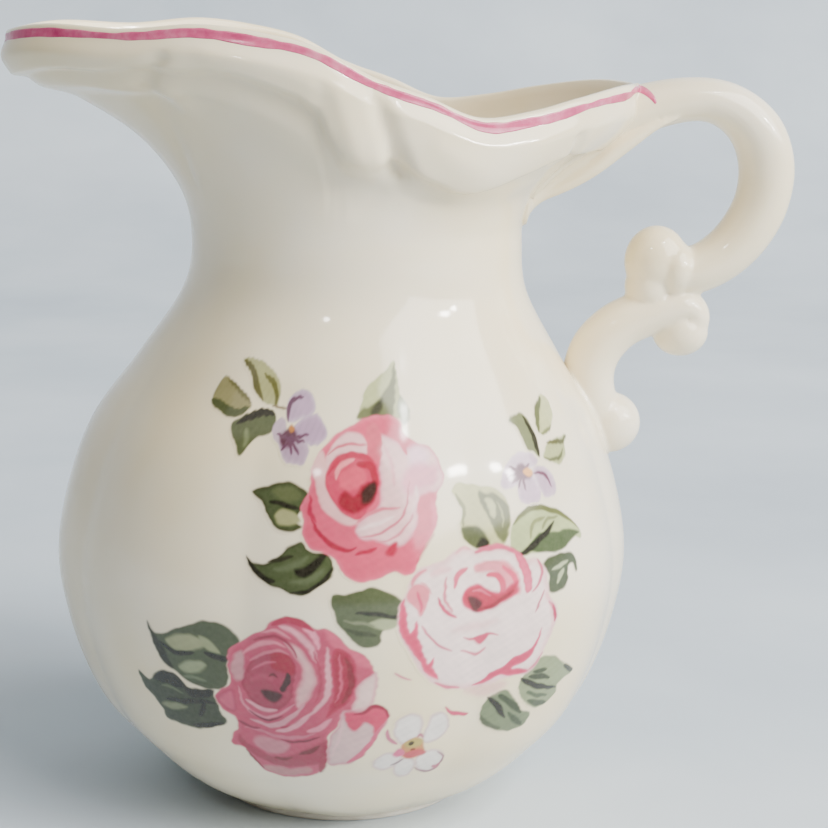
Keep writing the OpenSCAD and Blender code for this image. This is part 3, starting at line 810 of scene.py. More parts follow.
def paint_lower_rose(t):
    rose, pale, deep, dark = (196, 98, 114), (226, 190, 186), (172, 52, 74), (92, 18, 38)
    t.blot(rose, [(-15, 39.4), (-13.6, 40.8), (-11.4, 41.6), (-9, 41.4), (-7, 40.2), (-5.6, 40.2),
        (-3.6, 39),
                  (-2.2, 37.4), (0, 36.4), (1, 34.6), (1.7, 32), (1.4, 29.6), (0.4, 28.2), (-1.4, 27.3),
                      (-3, 26.4),
                  (-4, 24.4), (-5.4, 22.6), (-5.6, 19.8), (-6, 17.2), (-7.6, 15.2), (-10, 14.2),
                      (-14, 13.8),
                  (-17.4, 14.4), (-18.8, 16.6), (-20.2, 19), (-22, 19.6), (-21.6, 21.6), (-20.6, 22.6),
                      (-20.8, 24.6),
                  (-22.6, 25.6), (-23.4, 27.4), (-22.4, 29.2), (-20.8, 30.2), (-20.9, 33.6), (-20, 36),
                      (-18, 37.4),
                  (-16.6, 38.6)], edge=(206, 112, 126))
    t.blot((230, 208, 200), [(-1.6, 27.2), (1.2, 27.9), (1.9, 30.4), (1.7, 33.4), (0.6, 33), (-0.9, 31.6),
        (-1.2, 29.4)],
           soft=0.3, edge=(222, 176, 176))
    t.blot((216, 122, 134), [(-5.8, 39.8), (-3.6, 38.8), (-2.2, 37.2), (0, 36.2), (0.9, 34.4), (-0.8, 34.6),
                             (-2.4, 36.6), (-4.6, 37.4)], soft=0.4, strength=0.8)
    t.blot(pale, [(-11.6, 37.9), (-9.4, 37.2), (-7.8, 35.2), (-6.9, 33), (-7.3, 31), (-8.4, 28.8),
        (-9.9, 27.2),
                  (-10.3, 28.6), (-10, 30.6), (-9.1, 32.6), (-9.3, 34.4), (-10.4, 36)], soft=0.3,
                      edge=(220, 160, 162))
    t.stroke((232, 176, 180), 1.0, [(-12.4, 40.2), (-10, 39.4), (-8, 37.6), (-6.8, 35)], soft=0.3)
    t.stroke((236, 168, 176), 1.0, [(-9, 40.4), (-7.4, 39.2), (-6.7, 37)], soft=0.3)
    t.stroke((228, 176, 178), 0.95, [(-5.5, 37.4), (-5.2, 34), (-5.3, 31), (-6.2, 28.4), (-8, 26.4)],
        soft=0.25)
    t.stroke((184, 84, 100), 0.45, [(-7.4, 36.8), (-6.4, 33.8), (-6.5, 31), (-7.4, 28.4)])
    t.blot(deep, [(-4.7, 36.8), (-3.4, 37.2), (-1.6, 35.6), (-1.2, 32), (-1.7, 29.8), (-3, 27.8),
        (-4.6, 26.6),
                  (-5.6, 26), (-4.8, 28.6), (-4.5, 31.4), (-4.6, 34)], edge=(184, 70, 90), edge_width=0.7)
    t.stroke((148, 34, 56), 1.0, [(-2.7, 36), (-2, 33.4), (-2.1, 30.6), (-3.3, 28.4)])
    t.stroke((206, 110, 124), 0.45, [(-3.7, 36.4), (-3.4, 33.4), (-3.5, 30.6), (-4.3, 28.4)])
    t.stroke((182, 60, 84), 1.1, [(-13.6, 40.2), (-11.6, 41.1), (-9.2, 40.9), (-7.4, 39.8)])
    t.blot((178, 84, 100), [(-17.8, 33), (-16.2, 35.2), (-13.4, 36.2), (-11, 35.6), (-10.1, 33.6),
        (-10.5, 31),
                            (-11, 28.6), (-12.8, 26.9), (-15, 26.5), (-17.4, 27.5), (-18.7, 29.6),
                                (-18.7, 31.6)],
           edge=(168, 70, 88))
    t.blot((176, 48, 70), [(-13.6, 35.9), (-11.4, 36), (-10.2, 34.2), (-10.6, 32.6), (-12.2, 33),
        (-14, 33.8)], soft=0.3)
    t.stroke((192, 98, 112), 1.0, [(-17.4, 31), (-15.2, 32.2), (-13.6, 31.6)], soft=0.4, strength=0.8)
    t.blot(dark, [(-15.7, 29.6), (-14, 29.9), (-12.4, 29.3), (-12.9, 28.4), (-14, 27.9), (-15.3, 28.5)],
        soft=0.35)
    t.stroke((86, 22, 40), 1.0, [(-11.3, 32.7), (-11.4, 31.4), (-12.3, 29.9)], blunt=0.3)
    t.stroke((124, 34, 54), 0.45, [(-14.2, 32.2), (-13.5, 32.5), (-12.9, 32.1)])
    t.stroke((216, 140, 148), 0.55, [(-17.2, 34.3), (-15.4, 35.5), (-13, 36.3), (-11, 36)])
    t.stroke((208, 122, 134), 0.4, [(-17, 32.9), (-15.2, 34.2), (-13.2, 34.6)])
    t.stroke((224, 152, 158), 0.65, [(-18.2, 35.2), (-16.2, 36.8), (-13.6, 37.6), (-11.4, 37)])
    t.stroke((160, 58, 80), 0.5, [(-16.4, 37.6), (-13.6, 38.5), (-11.2, 37.9), (-9.8, 35.6)])
    t.stroke((220, 150, 156), 0.5, [(-15.2, 39), (-12.8, 39.4), (-10.6, 38.4)])
    t.blot((206, 158, 158), [(-20.4, 33.2), (-19.4, 35), (-18.2, 35.6), (-18.2, 33.4), (-18.8, 31),
        (-19.8, 30.8),
                             (-20.4, 31.8)], soft=0.35)
    t.stroke((218, 150, 158), 0.6, [(-19.4, 29.8), (-18.8, 27), (-17.4, 25.5), (-15, 25.2), (-12.4, 26.4),
        (-10.4, 28)])
    t.stroke((226, 170, 174), 0.7, [(-18.4, 27.7), (-17, 26.9), (-15, 26.4), (-13.4, 26.7)])
    t.stroke((126, 52, 70), 0.35, [(-18.2, 26), (-16.6, 25), (-14.6, 24.8), (-12.6, 25.6)])
    t.stroke((216, 162, 166), 0.9, [(-18.2, 24.4), (-15, 23.8), (-12.6, 24.4), (-10.4, 26.2), (-8.8, 28.4)])
    t.stroke((164, 62, 82), 0.7, [(-13, 23.6), (-11, 23.8), (-9.6, 25.2)])
    t.stroke((222, 166, 170), 0.9, [(-13.8, 22.9), (-11.6, 23.4), (-9.6, 24.8), (-7.6, 27)])
    t.stroke((206, 134, 144), 0.6, [(-19.4, 22.8), (-16, 22.4), (-13, 21.9), (-10, 22.1), (-7.4, 23.2)])
    t.stroke((136, 52, 72), 0.4, [(-13.4, 21.4), (-11, 21.2), (-8.6, 21.8), (-6.8, 22.6)])
    t.stroke((224, 156, 164), 0.8, [(-8.8, 23.2), (-6.6, 24.2), (-4.6, 25.8)])
    t.stroke((150, 62, 82), 0.5, [(-20.4, 24), (-18.6, 23), (-16.4, 22.9)])
    t.blot((208, 148, 152), [(-18.2, 20.6), (-16.6, 21.5), (-13.6, 21.3), (-11.8, 20.5), (-13, 19.1),
        (-15.4, 18.5),
                             (-17.8, 19.3)], soft=0.4)
    t.blot((172, 72, 90), [(-20.6, 21.4), (-19, 19.7), (-16, 18), (-12.6, 18.3), (-10, 19.5), (-7, 21.3),
                           (-5.8, 21.7), (-5.8, 18.6), (-8, 17.1), (-12, 16.1), (-16, 16.5), (-18.6, 17.8),
                           (-20.6, 19.8)], soft=0.3)
    t.stroke((132, 28, 50), 0.75, [(-10.4, 18.9), (-8.4, 19.7), (-6.8, 20.9)])
    t.stroke((142, 40, 58), 0.6, [(-15, 17.7), (-13, 17.7), (-11.6, 18.1)])
    t.blot((196, 146, 144), [(-17.8, 15.4), (-15, 16), (-12, 15.7), (-9, 16.4), (-8.6, 15.4), (-11, 14.5),
                             (-14.6, 14.1), (-17.2, 14.6)], soft=0.4)
    t.stroke((168, 66, 84), 1.3, [(-7, 15.6), (-6.2, 18), (-6.1, 21.4)], soft=0.3)
    t.stroke((150, 56, 74), 0.5, [(-20, 18.8), (-18.8, 16.8), (-17.6, 15)])
    t.blot((206, 116, 130), [(-23.2, 27.2), (-21.9, 28.8), (-20.4, 29.2), (-20, 27.4), (-20.4, 25.6),
        (-22, 25.8)],
           soft=0.3, edge=(184, 88, 106))
    t.blot((216, 192, 188), [(-3.2, 27), (-1.6, 27.3), (0.4, 27.5), (1.6, 28.2), (3, 27.8), (4, 26.2),
        (3.6, 24.4),
                             (2.4, 22.8), (1, 20.8), (-0.4, 18.8), (-2, 17.5), (-5.2, 17.2), (-5.6, 19.6),
                             (-5.1, 22.6), (-3.8, 24.6)], soft=0.25, edge=(214, 160, 164), edge_width=0.7)
    t.blot((208, 88, 108), [(-2.8, 26.8), (-0.4, 27.1), (1.6, 28.1), (3, 27.7), (3.9, 26.2), (3.3, 24.6),
                            (2, 23), (1.4, 24.4), (0.2, 25.2), (-1.2, 23.8), (-2.4, 24.6)], soft=0.35)
    t.stroke((210, 118, 134), 0.95, [(3.2, 24.8), (2, 22.4), (0.8, 20.4), (-0.8, 18.8), (-2.4, 17.7)])
    t.stroke((160, 50, 74), 0.6, [(-1.6, 26.6), (-0.2, 26.9), (1.6, 27.9), (3.2, 27.4), (3.9, 25.8)])
    t.stroke((236, 200, 200), 0.5, [(-3.2, 25.4), (-3.6, 22.6), (-4.8, 19)], soft=0.35, strength=0.6)


def paint_blossom(t):
    petals = (
        [(6, 21), (5, 23), (5.4, 25.2), (7.2, 26.2), (9.2, 25.6), (9.8, 23.8), (9.2, 21.8), (7.6, 20.6)],
        [(10, 21.2), (10.4, 23.4), (11, 25.2), (12.8, 25.8), (14.2, 24.4), (14.4, 22.4), (13, 20.8),
            (11.2, 20.4)],
        [(5.4, 19.4), (3.6, 19.2), (2.2, 18), (2.2, 16.6), (4, 15.8), (5.8, 16.4), (7, 17.8), (6.8, 19)],
        [(6.2, 17.4), (6, 15.6), (7.2, 14.2), (9, 14.2), (9.8, 15.8), (9.4, 17.4), (8, 18.2)],
        [(10, 18.4), (12, 19), (14, 18.8), (15.2, 17.4), (15, 15.4), (13.8, 14.4), (11.8, 14.4),
            (10.2, 15.4),
         (9.6, 16.8)],
    )
    for petal in petals:
        t.blot((232, 228, 222), petal, soft=0.3, edge=(216, 200, 196), edge_width=0.7)
    t.stroke((160, 118, 128), 0.5, [(9.8, 15.7), (11, 14.8), (13, 14.3), (14.4, 14.8), (15.1, 16.2),
        (14.9, 17.6),
                                    (13.7, 18.5)])
    t.stroke((196, 120, 134), 0.9, [(13.4, 15.4), (14.4, 15.2), (15, 16)], soft=0.35)
    t.blot((202, 164, 112), [(6.4, 19.8), (7, 21.2), (8.4, 21.8), (9.8, 21.4), (10.6, 20.2), (10.9, 18.8),
                             (9.4, 17.9), (7.4, 18.2)], soft=0.3)
    t.blot((192, 184, 118), [(7, 20.8), (8.2, 21.6), (10.2, 21.2), (9.8, 20.1), (7.8, 20)], soft=0.35)
    t.blot((200, 112, 108), [(7, 18.5), (8.8, 17.8), (10.9, 18.2), (11.2, 18.9), (9.4, 19.4), (7.4, 19.2)],
        soft=0.35)
    t.stroke((76, 66, 24), 0.75, [(7.8, 20.6), (8.2, 20.8), (8.6, 20.6)])
    t.stroke((132, 70, 40), 0.4, [(8.1, 19.6), (8.6, 19.6), (9.1, 19.4)])
    t.blot((214, 126, 148), [(5.2, 19), (6, 20), (7, 19.6), (7, 18.7), (6, 18.5)], soft=0.3)
    t.stroke((202, 134, 148), 0.85, [(3.9, 23.7), (4.3, 22), (5.7, 20.9)])
    t.stroke((192, 138, 146), 0.6, [(9.1, 21.7), (9.6, 22.2), (10.2, 21.6)])
    t.stroke((150, 132, 138), 0.35, [(5.3, 16.8), (6.6, 17.4), (7.3, 17.9)])


def paint_rose_leaves(t):
    light, mid, green, dark = (190, 196, 158), (140, 150, 112), (92, 106, 76), (26, 34, 16)
    # over the upper rose
    t.blot(light, [(-1.3, 68.6), (-1.2, 70.4), (0, 72.6), (2, 74), (4, 75), (5.9, 76.1), (6.2, 74),
        (6.6, 71.6), (7, 69),
                   (5, 68.6), (2, 68.4)])
    t.blot((124, 132, 94), [(-1.6, 68.6), (-0.8, 69.9), (0.4, 70.1), (2, 71), (3.2, 72), (4.6, 73.4),
        (5.9, 75.7),
                            (5.7, 72.8), (5.5, 70.4), (5, 68.8), (2, 68.4)], soft=0.35)
    t.blot((68, 74, 44), [(0.8, 69.3), (2, 70.8), (3.1, 71.3), (3, 70), (2, 69.1)], soft=0.4)
    t.blot((166, 176, 150), [(6.4, 71.4), (8.1, 70.3), (8.4, 68.9), (7.2, 67.7), (6.2, 69)], soft=0.3)
    # beside it
    t.blot(green, [(-18.2, 58.6), (-15.5, 59.6), (-12.5, 60.2), (-10.6, 59.9), (-9, 58.9), (-9.5, 57),
        (-10.5, 55.2),
                   (-9.4, 54.4), (-11, 53.6), (-12.8, 53.4), (-14.2, 54.2), (-15.4, 55.6), (-16.4, 57.2)],
           edge=(78, 86, 56))
    t.blot((112, 122, 90), [(-14.6, 59), (-12, 59.6), (-10, 58.8), (-11, 57.8), (-13.4, 57.8)], soft=0.4)
    t.blot((172, 174, 136), [(-14, 55.5), (-12.6, 56.6), (-10.6, 56.2), (-9.7, 55.2), (-11, 54.5),
        (-13, 54.2)], soft=0.3)
    t.stroke(dark, 0.65, [(-15.2, 57.5), (-12.8, 57.2), (-10, 56.8)])
    t.blot(green, [(-18.2, 49.8), (-16.8, 48.9), (-14.4, 49.2), (-12.6, 50.4), (-11.6, 51.4), (-9.6, 52.4),
                   (-8.6, 51.4), (-7, 50.9), (-5.4, 50.7), (-4.5, 49.2), (-5, 47.6), (-7, 46), (-9.4, 44.9),
                   (-12, 45.3), (-14.4, 46), (-16.6, 47.6)], edge=(74, 84, 58), edge_width=0.6)
    t.stroke((114, 126, 100), 1.0, [(-13.6, 48), (-10.6, 48.9), (-8.4, 50.4)], soft=0.4)
    t.stroke((112, 124, 98), 0.9, [(-11, 46.6), (-8, 47.2), (-5.8, 48.6)], soft=0.4)
    t.stroke(dark, 0.95, [(-18.1, 49.6), (-16.6, 47.8), (-14.8, 46.7), (-13.2, 46.4)])
    t.blot((20, 28, 12), [(-5.6, 50.8), (-7.2, 50.2), (-8.6, 49), (-10.3, 48.4), (-9.8, 47.6), (-8, 47.7),
                          (-6.6, 49.1)], soft=0.3)
    t.stroke(dark, 0.55, [(-11, 45.1), (-8, 45.8), (-6, 47.2), (-4.7, 48.8)])
    t.stroke((52, 58, 36), 0.6, [(-14.6, 49.2), (-12.6, 49.7), (-10.8, 50.3)])
    # between the roses
    t.blot((98, 110, 82), [(-5, 45), (-3, 45.3), (-0.6, 45.9), (1.2, 46.2), (3.6, 45.4), (5.4, 44.2),
        (4.9, 43.2),
                           (4.6, 42.2), (4.4, 40.8), (3, 40.2), (2.2, 39.6), (2.4, 38.2), (1.4, 37.4),
                               (-0.4, 37.6),
                           (-2, 38.8), (-3.6, 40.6), (-4.4, 42.6)])
    t.blot((172, 180, 150), [(1.6, 41.5), (4.3, 41.6), (4.5, 40.7), (3, 39.9), (1.6, 40.2), (0.4, 41)],
        soft=0.3)
    t.stroke((136, 144, 118), 0.45, [(-3, 41.5), (-0.6, 41.2), (1.2, 40.6)])
    t.stroke((74, 86, 60), 0.7, [(-3, 40.4), (-0.6, 39.7), (1.6, 39.2)])
    t.stroke((34, 42, 22), 0.65, [(-1.3, 42.6), (1, 42.4), (3.4, 42), (5, 42)], blunt=0.2)
    # over the pale rose
    t.blot((200, 202, 160), [(14.4, 58.4), (15.6, 57), (16, 55.6), (15.3, 53.6), (15.6, 52), (17, 50.8),
        (18.6, 50.2),
                             (20.4, 50.4), (22.6, 50.4), (24.2, 52.6), (24.6, 54.8), (24.2, 56.8),
                                 (22.6, 58.2),
                             (20.4, 58.8), (18, 59.4), (15.8, 59.6)])
    t.stroke((150, 156, 116), 0.7, [(15, 58.2), (16.2, 56), (15.8, 53.6)])
    t.blot((102, 112, 78), [(15.4, 53.4), (17.6, 53.5), (19, 53), (20, 51.6), (19.7, 50.2), (18, 50.4),
        (16.2, 51.5)],
           soft=0.3)
    t.blot((38, 42, 24), [(17.9, 50.6), (19.2, 51.8), (20.3, 51), (19.4, 50.2)], soft=0.35)
    t.blot((124, 132, 96), [(19.4, 58.2), (20.8, 57.7), (22.4, 57.5), (24.3, 56), (24.6, 54.2),
        (23.6, 51.8),
                            (22.4, 50.6), (21.2, 52.4), (20.5, 54.4), (19.6, 56)], soft=0.3)
    t.blot((196, 200, 162), [(20.5, 57), (21.6, 56.8), (22.1, 55), (21.5, 54.1), (20.7, 55.4)], soft=0.3)
    t.stroke((172, 178, 140), 0.4, [(22.4, 56.4), (23.2, 54.6), (22.8, 52.6)])
    # beside the pale rose
    t.blot((188, 198, 158), [(24.4, 52.6), (26, 54), (28.4, 54.8), (30.6, 54.9), (33, 54.4), (35.4, 53),
        (37.4, 51.6),
                             (39.3, 49.8), (38.6, 48.7), (37, 49.2), (35.2, 48.6), (32.8, 48.1), (30, 48.4),
                             (28.2, 48.3), (26, 48.4), (24.4, 48.6), (23.6, 50.4)])
    t.stroke((120, 128, 86), 0.85, [(24.8, 53), (27, 54.3), (30, 54.7), (33, 53.9), (36, 52.4),
        (38.8, 50.3)])
    t.stroke((150, 158, 120), 0.6, [(27.4, 50.6), (28.6, 52.6), (31, 53.2)])
    t.stroke((146, 154, 118), 0.5, [(30, 51.6), (31.6, 52.9), (34, 52.8)])
    t.blot((96, 114, 82), [(27, 49.4), (29, 51), (31, 51), (33, 50.8), (36, 50.5), (38.8, 49.7), (37, 49.2),
                           (34.6, 48.3), (31.6, 48), (28.4, 48.4)], soft=0.25)
    t.blot((24, 34, 16), [(24.6, 48.6), (26.6, 49.5), (28.4, 50.3), (30.4, 51.2), (33, 52.4), (31.6, 50.9),
        (30, 50),
                          (28, 48.9), (26, 48.4)], soft=0.25)
    t.blot((88, 102, 74), [(29.4, 46.6), (31.6, 47.6), (33.8, 47.7), (35.8, 47.2), (36.6, 46.2),
        (37.1, 44.6),
                           (36.6, 44.1), (35.8, 45.6), (34.6, 45.4), (34.4, 43.4), (33, 42.2), (31, 42),
                               (29.9, 42.8),
                           (30.3, 44.6), (29.6, 45.6)])
    t.stroke((184, 192, 162), 0.6, [(30.8, 45.4), (32.8, 45.9), (34.8, 46.3)])
    t.stroke((184, 192, 162), 0.8, [(31.8, 43.2), (32.6, 44.4), (33.6, 45.3)])
    # low on the right
    t.blot((150, 162, 132), [(26.6, 29.6), (28.4, 31.4), (30.6, 32.1), (33, 31.6), (34.6, 30.6),
        (36.4, 29.4),
                             (39.4, 27.5), (37.2, 26.8), (35.6, 26), (35.8, 24.6), (34, 23.2), (31.6, 23),
                                 (29.8, 23.8),
                             (28, 25.4), (26.4, 27.4)])
    t.stroke((62, 78, 52), 1.0, [(27.8, 29.2), (30.4, 28.6), (33, 27.9)])
    t.stroke((70, 86, 60), 0.8, [(28.4, 29.9), (30.2, 29.6), (31.6, 29.6)])
    t.stroke((22, 32, 16), 0.95, [(26.2, 29.4), (28.6, 27.9), (31, 26.7), (35.4, 25.7)])
    t.stroke((82, 98, 74), 0.95, [(29, 24.9), (31.6, 23.8), (34, 23.4)])
    t.stroke((92, 108, 84), 0.7, [(28.4, 26.6), (31, 25.2), (33.4, 24.8)])
    t.stroke((60, 68, 46), 0.8, [(36, 29.3), (37.6, 28.3), (39.2, 27.4)])
    t.blot((128, 142, 114), [(20.6, 26.6), (22, 27.5), (24, 27.7), (25.6, 26.4), (27, 25), (28.6, 23.4),
        (30.7, 22.2),
                             (30.4, 20.3), (27.6, 19.8), (25, 20.2), (22.4, 21.4), (20.6, 23), (20, 25)])
    t.stroke((16, 24, 12), 1.0, [(20.6, 27), (22.4, 25.6), (23.8, 24), (25.2, 22.4)])
    t.stroke((66, 84, 58), 1.2, [(22.6, 27), (25.8, 25), (28.6, 22.8)])
    t.stroke((94, 106, 82), 0.7, [(20.3, 24), (22.2, 22), (25, 20.6)])
    t.stroke((76, 94, 68), 1.0, [(25.6, 23.4), (27.8, 21.6), (29.8, 20.4)])
    # low on the left
    t.blot((90, 102, 76), [(-33.9, 38.3), (-33, 36.8), (-31.4, 36.8), (-29, 38), (-26.6, 38.8),
        (-24.4, 39.8),
                           (-22, 39.8), (-20, 38.8), (-18.6, 37.2), (-19.4, 35.8), (-20.8, 34.2), (-21, 31),
                           (-21.6, 29.6), (-24, 28.8), (-27, 29.2), (-29.6, 30.8), (-31.6, 32), (-33, 34),
                               (-33.4, 36)])
    t.blot((166, 172, 140), [(-30.8, 36), (-28.4, 37.2), (-25.4, 37), (-24, 36), (-26, 34.8), (-29, 34.7)],
        soft=0.35)
    t.blot((162, 170, 138), [(-25.2, 37.3), (-23.6, 37), (-22, 35.6), (-21.8, 34.9), (-24, 35.4)], soft=0.3)
    t.stroke((26, 32, 16), 0.75, [(-32, 35.4), (-29, 34.2), (-26, 34.5)])
    t.stroke((26, 34, 18), 0.95, [(-24.4, 34.8), (-22.2, 34.2), (-20.4, 34.3)])
    t.blot((158, 168, 138), [(-29, 32), (-26.6, 33.2), (-24.2, 32.8), (-25.4, 31.6), (-27.6, 31)],
        soft=0.35)
    t.stroke((120, 134, 108), 0.6, [(-28.6, 30.4), (-26.4, 30.4), (-24.4, 30)])
    t.blot((48, 56, 34), [(-33.8, 38), (-32.4, 36), (-31.4, 34.4), (-30.2, 31.4), (-31.8, 32),
        (-33.1, 34.4)], soft=0.35)
    t.blot((70, 84, 60), [(-37.6, 29.3), (-35.4, 28.6), (-33.4, 30), (-31.4, 30.5), (-29.6, 30.2),
        (-28.4, 28.8),
                          (-26.4, 28.4), (-24, 28.8), (-23.4, 27), (-23, 25), (-22.4, 23.4), (-24, 22.4),
                              (-27, 21.6),
                          (-30, 21.4), (-33.6, 22), (-34.2, 23.6), (-35.4, 25.4), (-37, 26.8)],
                              edge=(84, 96, 74))
    t.blot((30, 38, 22), [(-34.6, 28.8), (-32.8, 30.3), (-30.2, 30.5), (-28.4, 28.6), (-30, 28.3),
        (-32, 28.5)], soft=0.3)
    t.blot((20, 28, 14), [(-28.6, 28.4), (-26, 28.5), (-23.6, 28.7), (-24.6, 27.2), (-27.6, 27)], soft=0.3)
    t.stroke((112, 124, 98), 0.5, [(-33, 28), (-31, 28), (-29, 27.4)])
    t.stroke((22, 32, 16), 0.85, [(-33, 25.6), (-30, 26), (-27, 26.3), (-23.6, 26.4)])
    t.blot((142, 150, 122), [(-34, 24.6), (-31.6, 25.3), (-28.6, 25.2), (-30.4, 24.2), (-32.6, 23.9)],
        soft=0.35)
    t.stroke((28, 36, 20), 0.85, [(-22.8, 23.2), (-25.6, 22.4), (-29, 21.9)])
    t.stroke((24, 32, 18), 0.8, [(-25.6, 26.4), (-26, 25), (-27, 23.8)])


def paint_left_violet(t):
    lavender, dark = (194, 172, 188), (112, 70, 88)
    t.blot((162, 160, 120), [(-31.6, 71), (-30.4, 73), (-28.6, 72.8), (-26.4, 71.8), (-24, 70.6),
        (-22.2, 69.5),
                             (-23.4, 68.4), (-25.4, 68), (-28, 68.5), (-30.6, 69.3)], soft=0.25)
    t.stroke((94, 104, 72), 1.3, [(-31.2, 69.9), (-28, 69), (-25.2, 68.5), (-22.8, 69.3)], blunt=0.3)
    t.stroke((128, 128, 90), 0.6, [(-29.4, 72.8), (-25.8, 71.5), (-22.6, 69.9)])
    t.blot((180, 182, 140), [(-27.6, 75.7), (-24, 75.7), (-21, 75), (-18.8, 73.8), (-17.4, 72.6),
        (-17.1, 71),
                             (-17, 69.7), (-18, 69.9), (-20, 70.1), (-21.6, 70.8), (-23, 72), (-25, 73.8)],
                                 soft=0.25)
    t.stroke((116, 116, 76), 1.1, [(-27.4, 75.6), (-24.4, 74.1), (-23, 72.4), (-20.4, 70.3)])
    t.stroke((120, 122, 76), 0.95, [(-21.8, 74), (-19.4, 73), (-18.1, 71.6), (-17.3, 69.7)])
    t.blot((102, 112, 82), [(-24.9, 67.2), (-23.4, 68.2), (-21, 69.1), (-18.4, 69.4), (-17, 68.7),
        (-16.7, 67),
                            (-18, 66), (-19.6, 65.6), (-20.6, 64.6), (-21.6, 63.1), (-23, 64.5),
                                (-24.3, 65.6)])
    t.stroke((134, 144, 112), 0.9, [(-22, 66.8), (-21.4, 65.6), (-21.4, 64.2)], soft=0.35)
    t.stroke((40, 42, 22), 1.05, [(-24, 67.3), (-21.6, 68.3), (-19.2, 68.9), (-17.2, 68.8)])
    t.stroke((150, 140, 112), 0.35, [(-18, 69.8), (-16.4, 69.8), (-14.8, 69.6)], blunt=0.5)
    t.blot(lavender, [(-15.3, 70.2), (-14.8, 71.4), (-13, 72.2), (-11.4, 72.1), (-10.1, 71), (-9.6, 69.6),
                      (-10.6, 68.6), (-12.4, 68.2), (-13.8, 67.9), (-14.8, 68.6)], edge=(206, 190, 200))
    t.blot((188, 164, 182), [(-13, 67.4), (-11, 68.8), (-9, 69.2), (-7.5, 68.2), (-6.7, 66.6), (-8, 65.3),
                             (-10.6, 65.1), (-12.4, 66)], edge=(200, 182, 194))
    t.blot((190, 168, 182), [(-15.5, 66), (-14.6, 64), (-13.2, 62.8), (-11.4, 62.6), (-10, 62.8),
        (-9.7, 64.4),
                             (-10.6, 65.6), (-12.4, 66.4), (-14, 66.8)], edge=(202, 184, 194))
    t.blot((202, 184, 192), [(-16.8, 67.8), (-15.6, 68.6), (-14.6, 68), (-14.4, 66.6), (-15, 65.1),
        (-16.3, 65.5),
                             (-17, 66.6)])
    t.blot(dark, [(-15.1, 66.4), (-13.8, 67.2), (-12.6, 67), (-12.1, 66), (-12.8, 65), (-14, 64.7),
        (-14.9, 65.3)],
           soft=0.4)
    for tip in ((-10, 66.5), (-10.6, 65.5), (-11.2, 64), (-12.6, 63.8), (-14.6, 64.2), (-16, 66.4)):
        t.stroke((122, 84, 104), 0.5, [(-13.6, 66), ((tip[0] - 13) / 2, (tip[1] + 65.8) / 2), tip])
    t.stroke((122, 90, 108), 0.8, [(-14.2, 68), (-14.8, 69.6), (-14.3, 70.8), (-12.4, 71.2)])
    t.blot((196, 152, 86), [(-13.9, 67.1), (-13.3, 67.7), (-12.7, 67.1), (-13.2, 66.6)], soft=0.25)


def paint_right_violet(t):
    dark = (116, 66, 92)
    t.blot((140, 148, 116), [(28.8, 66.9), (30.6, 67.6), (32.6, 67.6), (33.5, 66.6), (33.8, 64.4),
        (33.5, 62.6),
                             (33, 61.5), (32, 62.3), (30.8, 62.8), (30.3, 64.6), (30.1, 66)], soft=0.25)
    t.stroke((56, 60, 38), 1.1, [(32.6, 67.2), (33.2, 65), (33.2, 63.2), (33, 61.6)])
    t.blot((196, 200, 162), [(34.8, 65), (35.6, 66.6), (37.4, 68), (39.6, 69), (41.4, 69.3), (42.5, 68.2),
                             (41.8, 66.6), (40, 65.4), (38, 64.6), (36, 64.2)], soft=0.25)
    t.stroke((118, 126, 92), 1.1, [(35, 64.7), (36, 66.5), (37.8, 67.9), (40.4, 69)])
    t.stroke((138, 146, 110), 0.5, [(35.4, 64.5), (37, 64.5), (39.4, 65.2)])
    t.blot((182, 188, 150), [(34, 61.2), (35.2, 62.4), (36.6, 63.2), (39, 63.3), (43, 63.3), (41.2, 62.2),
        (40.4, 61),
                             (39, 60.2), (37.2, 59.9), (35.6, 60.6)], soft=0.25)
    t.stroke((106, 110, 72), 0.65, [(36, 63.1), (38.6, 62.9), (40.8, 62.7), (42.9, 63.2)])
    t.stroke((114, 122, 90), 0.5, [(34.2, 61.2), (36.6, 60.7), (38.6, 60.9), (40, 61.7)])
    t.blot((208, 188, 200), [(23.8, 58.3), (24.2, 60), (25.4, 61.3), (27.2, 61.8), (28, 60.8), (27.8, 59.4),
                             (27, 58.4), (25.4, 57.9)], edge=(216, 200, 208))
    t.blot((212, 194, 204), [(25.6, 61.4), (27.4, 62.5), (29.4, 62.7), (31.4, 62.2), (32.4, 61.2),
        (31.6, 60.4),
                             (29.8, 60.2), (28, 60.4), (26.6, 60.8)], edge=(220, 206, 212))
    t.blot((200, 178, 192), [(27, 58.4), (26.6, 57), (27, 55.9), (28.6, 55.3), (30.4, 55.4), (31.2, 56.4),
        (31, 58.2),
                             (30, 59.4), (28.4, 59.4)], edge=(212, 194, 204))
    t.blot((206, 186, 198), [(30.4, 59.8), (31.8, 60.4), (33.6, 60), (35, 58.6), (35.2, 57), (34.2, 55.9),
                             (32.4, 55.8), (31.2, 57), (30.6, 58.6)], edge=(216, 200, 208))
    t.blot(dark, [(27, 60.2), (28, 61.1), (29, 61), (29.8, 60.2), (30.4, 59.4), (29.2, 58.8), (28, 59),
        (27, 59.4)],
           soft=0.35)
    for tip in ((25, 59.4), (25.8, 61), (26, 58.6), (27, 57.9), (28.3, 57.3), (30.4, 60.9)):
        t.stroke((126, 82, 104), 0.5, [(28.6, 59.8), ((tip[0] + 28.4) / 2, (tip[1] + 59.9) / 2), tip])
    t.stroke((130, 88, 106), 0.55, [(30.6, 59.5), (32.4, 59.3), (33.4, 58.6), (34.1, 57)])
    t.blot((228, 184, 92), [(28.6, 60), (29.6, 60.4), (30.5, 60), (30.3, 59.4), (29.2, 59.2)], soft=0.25)


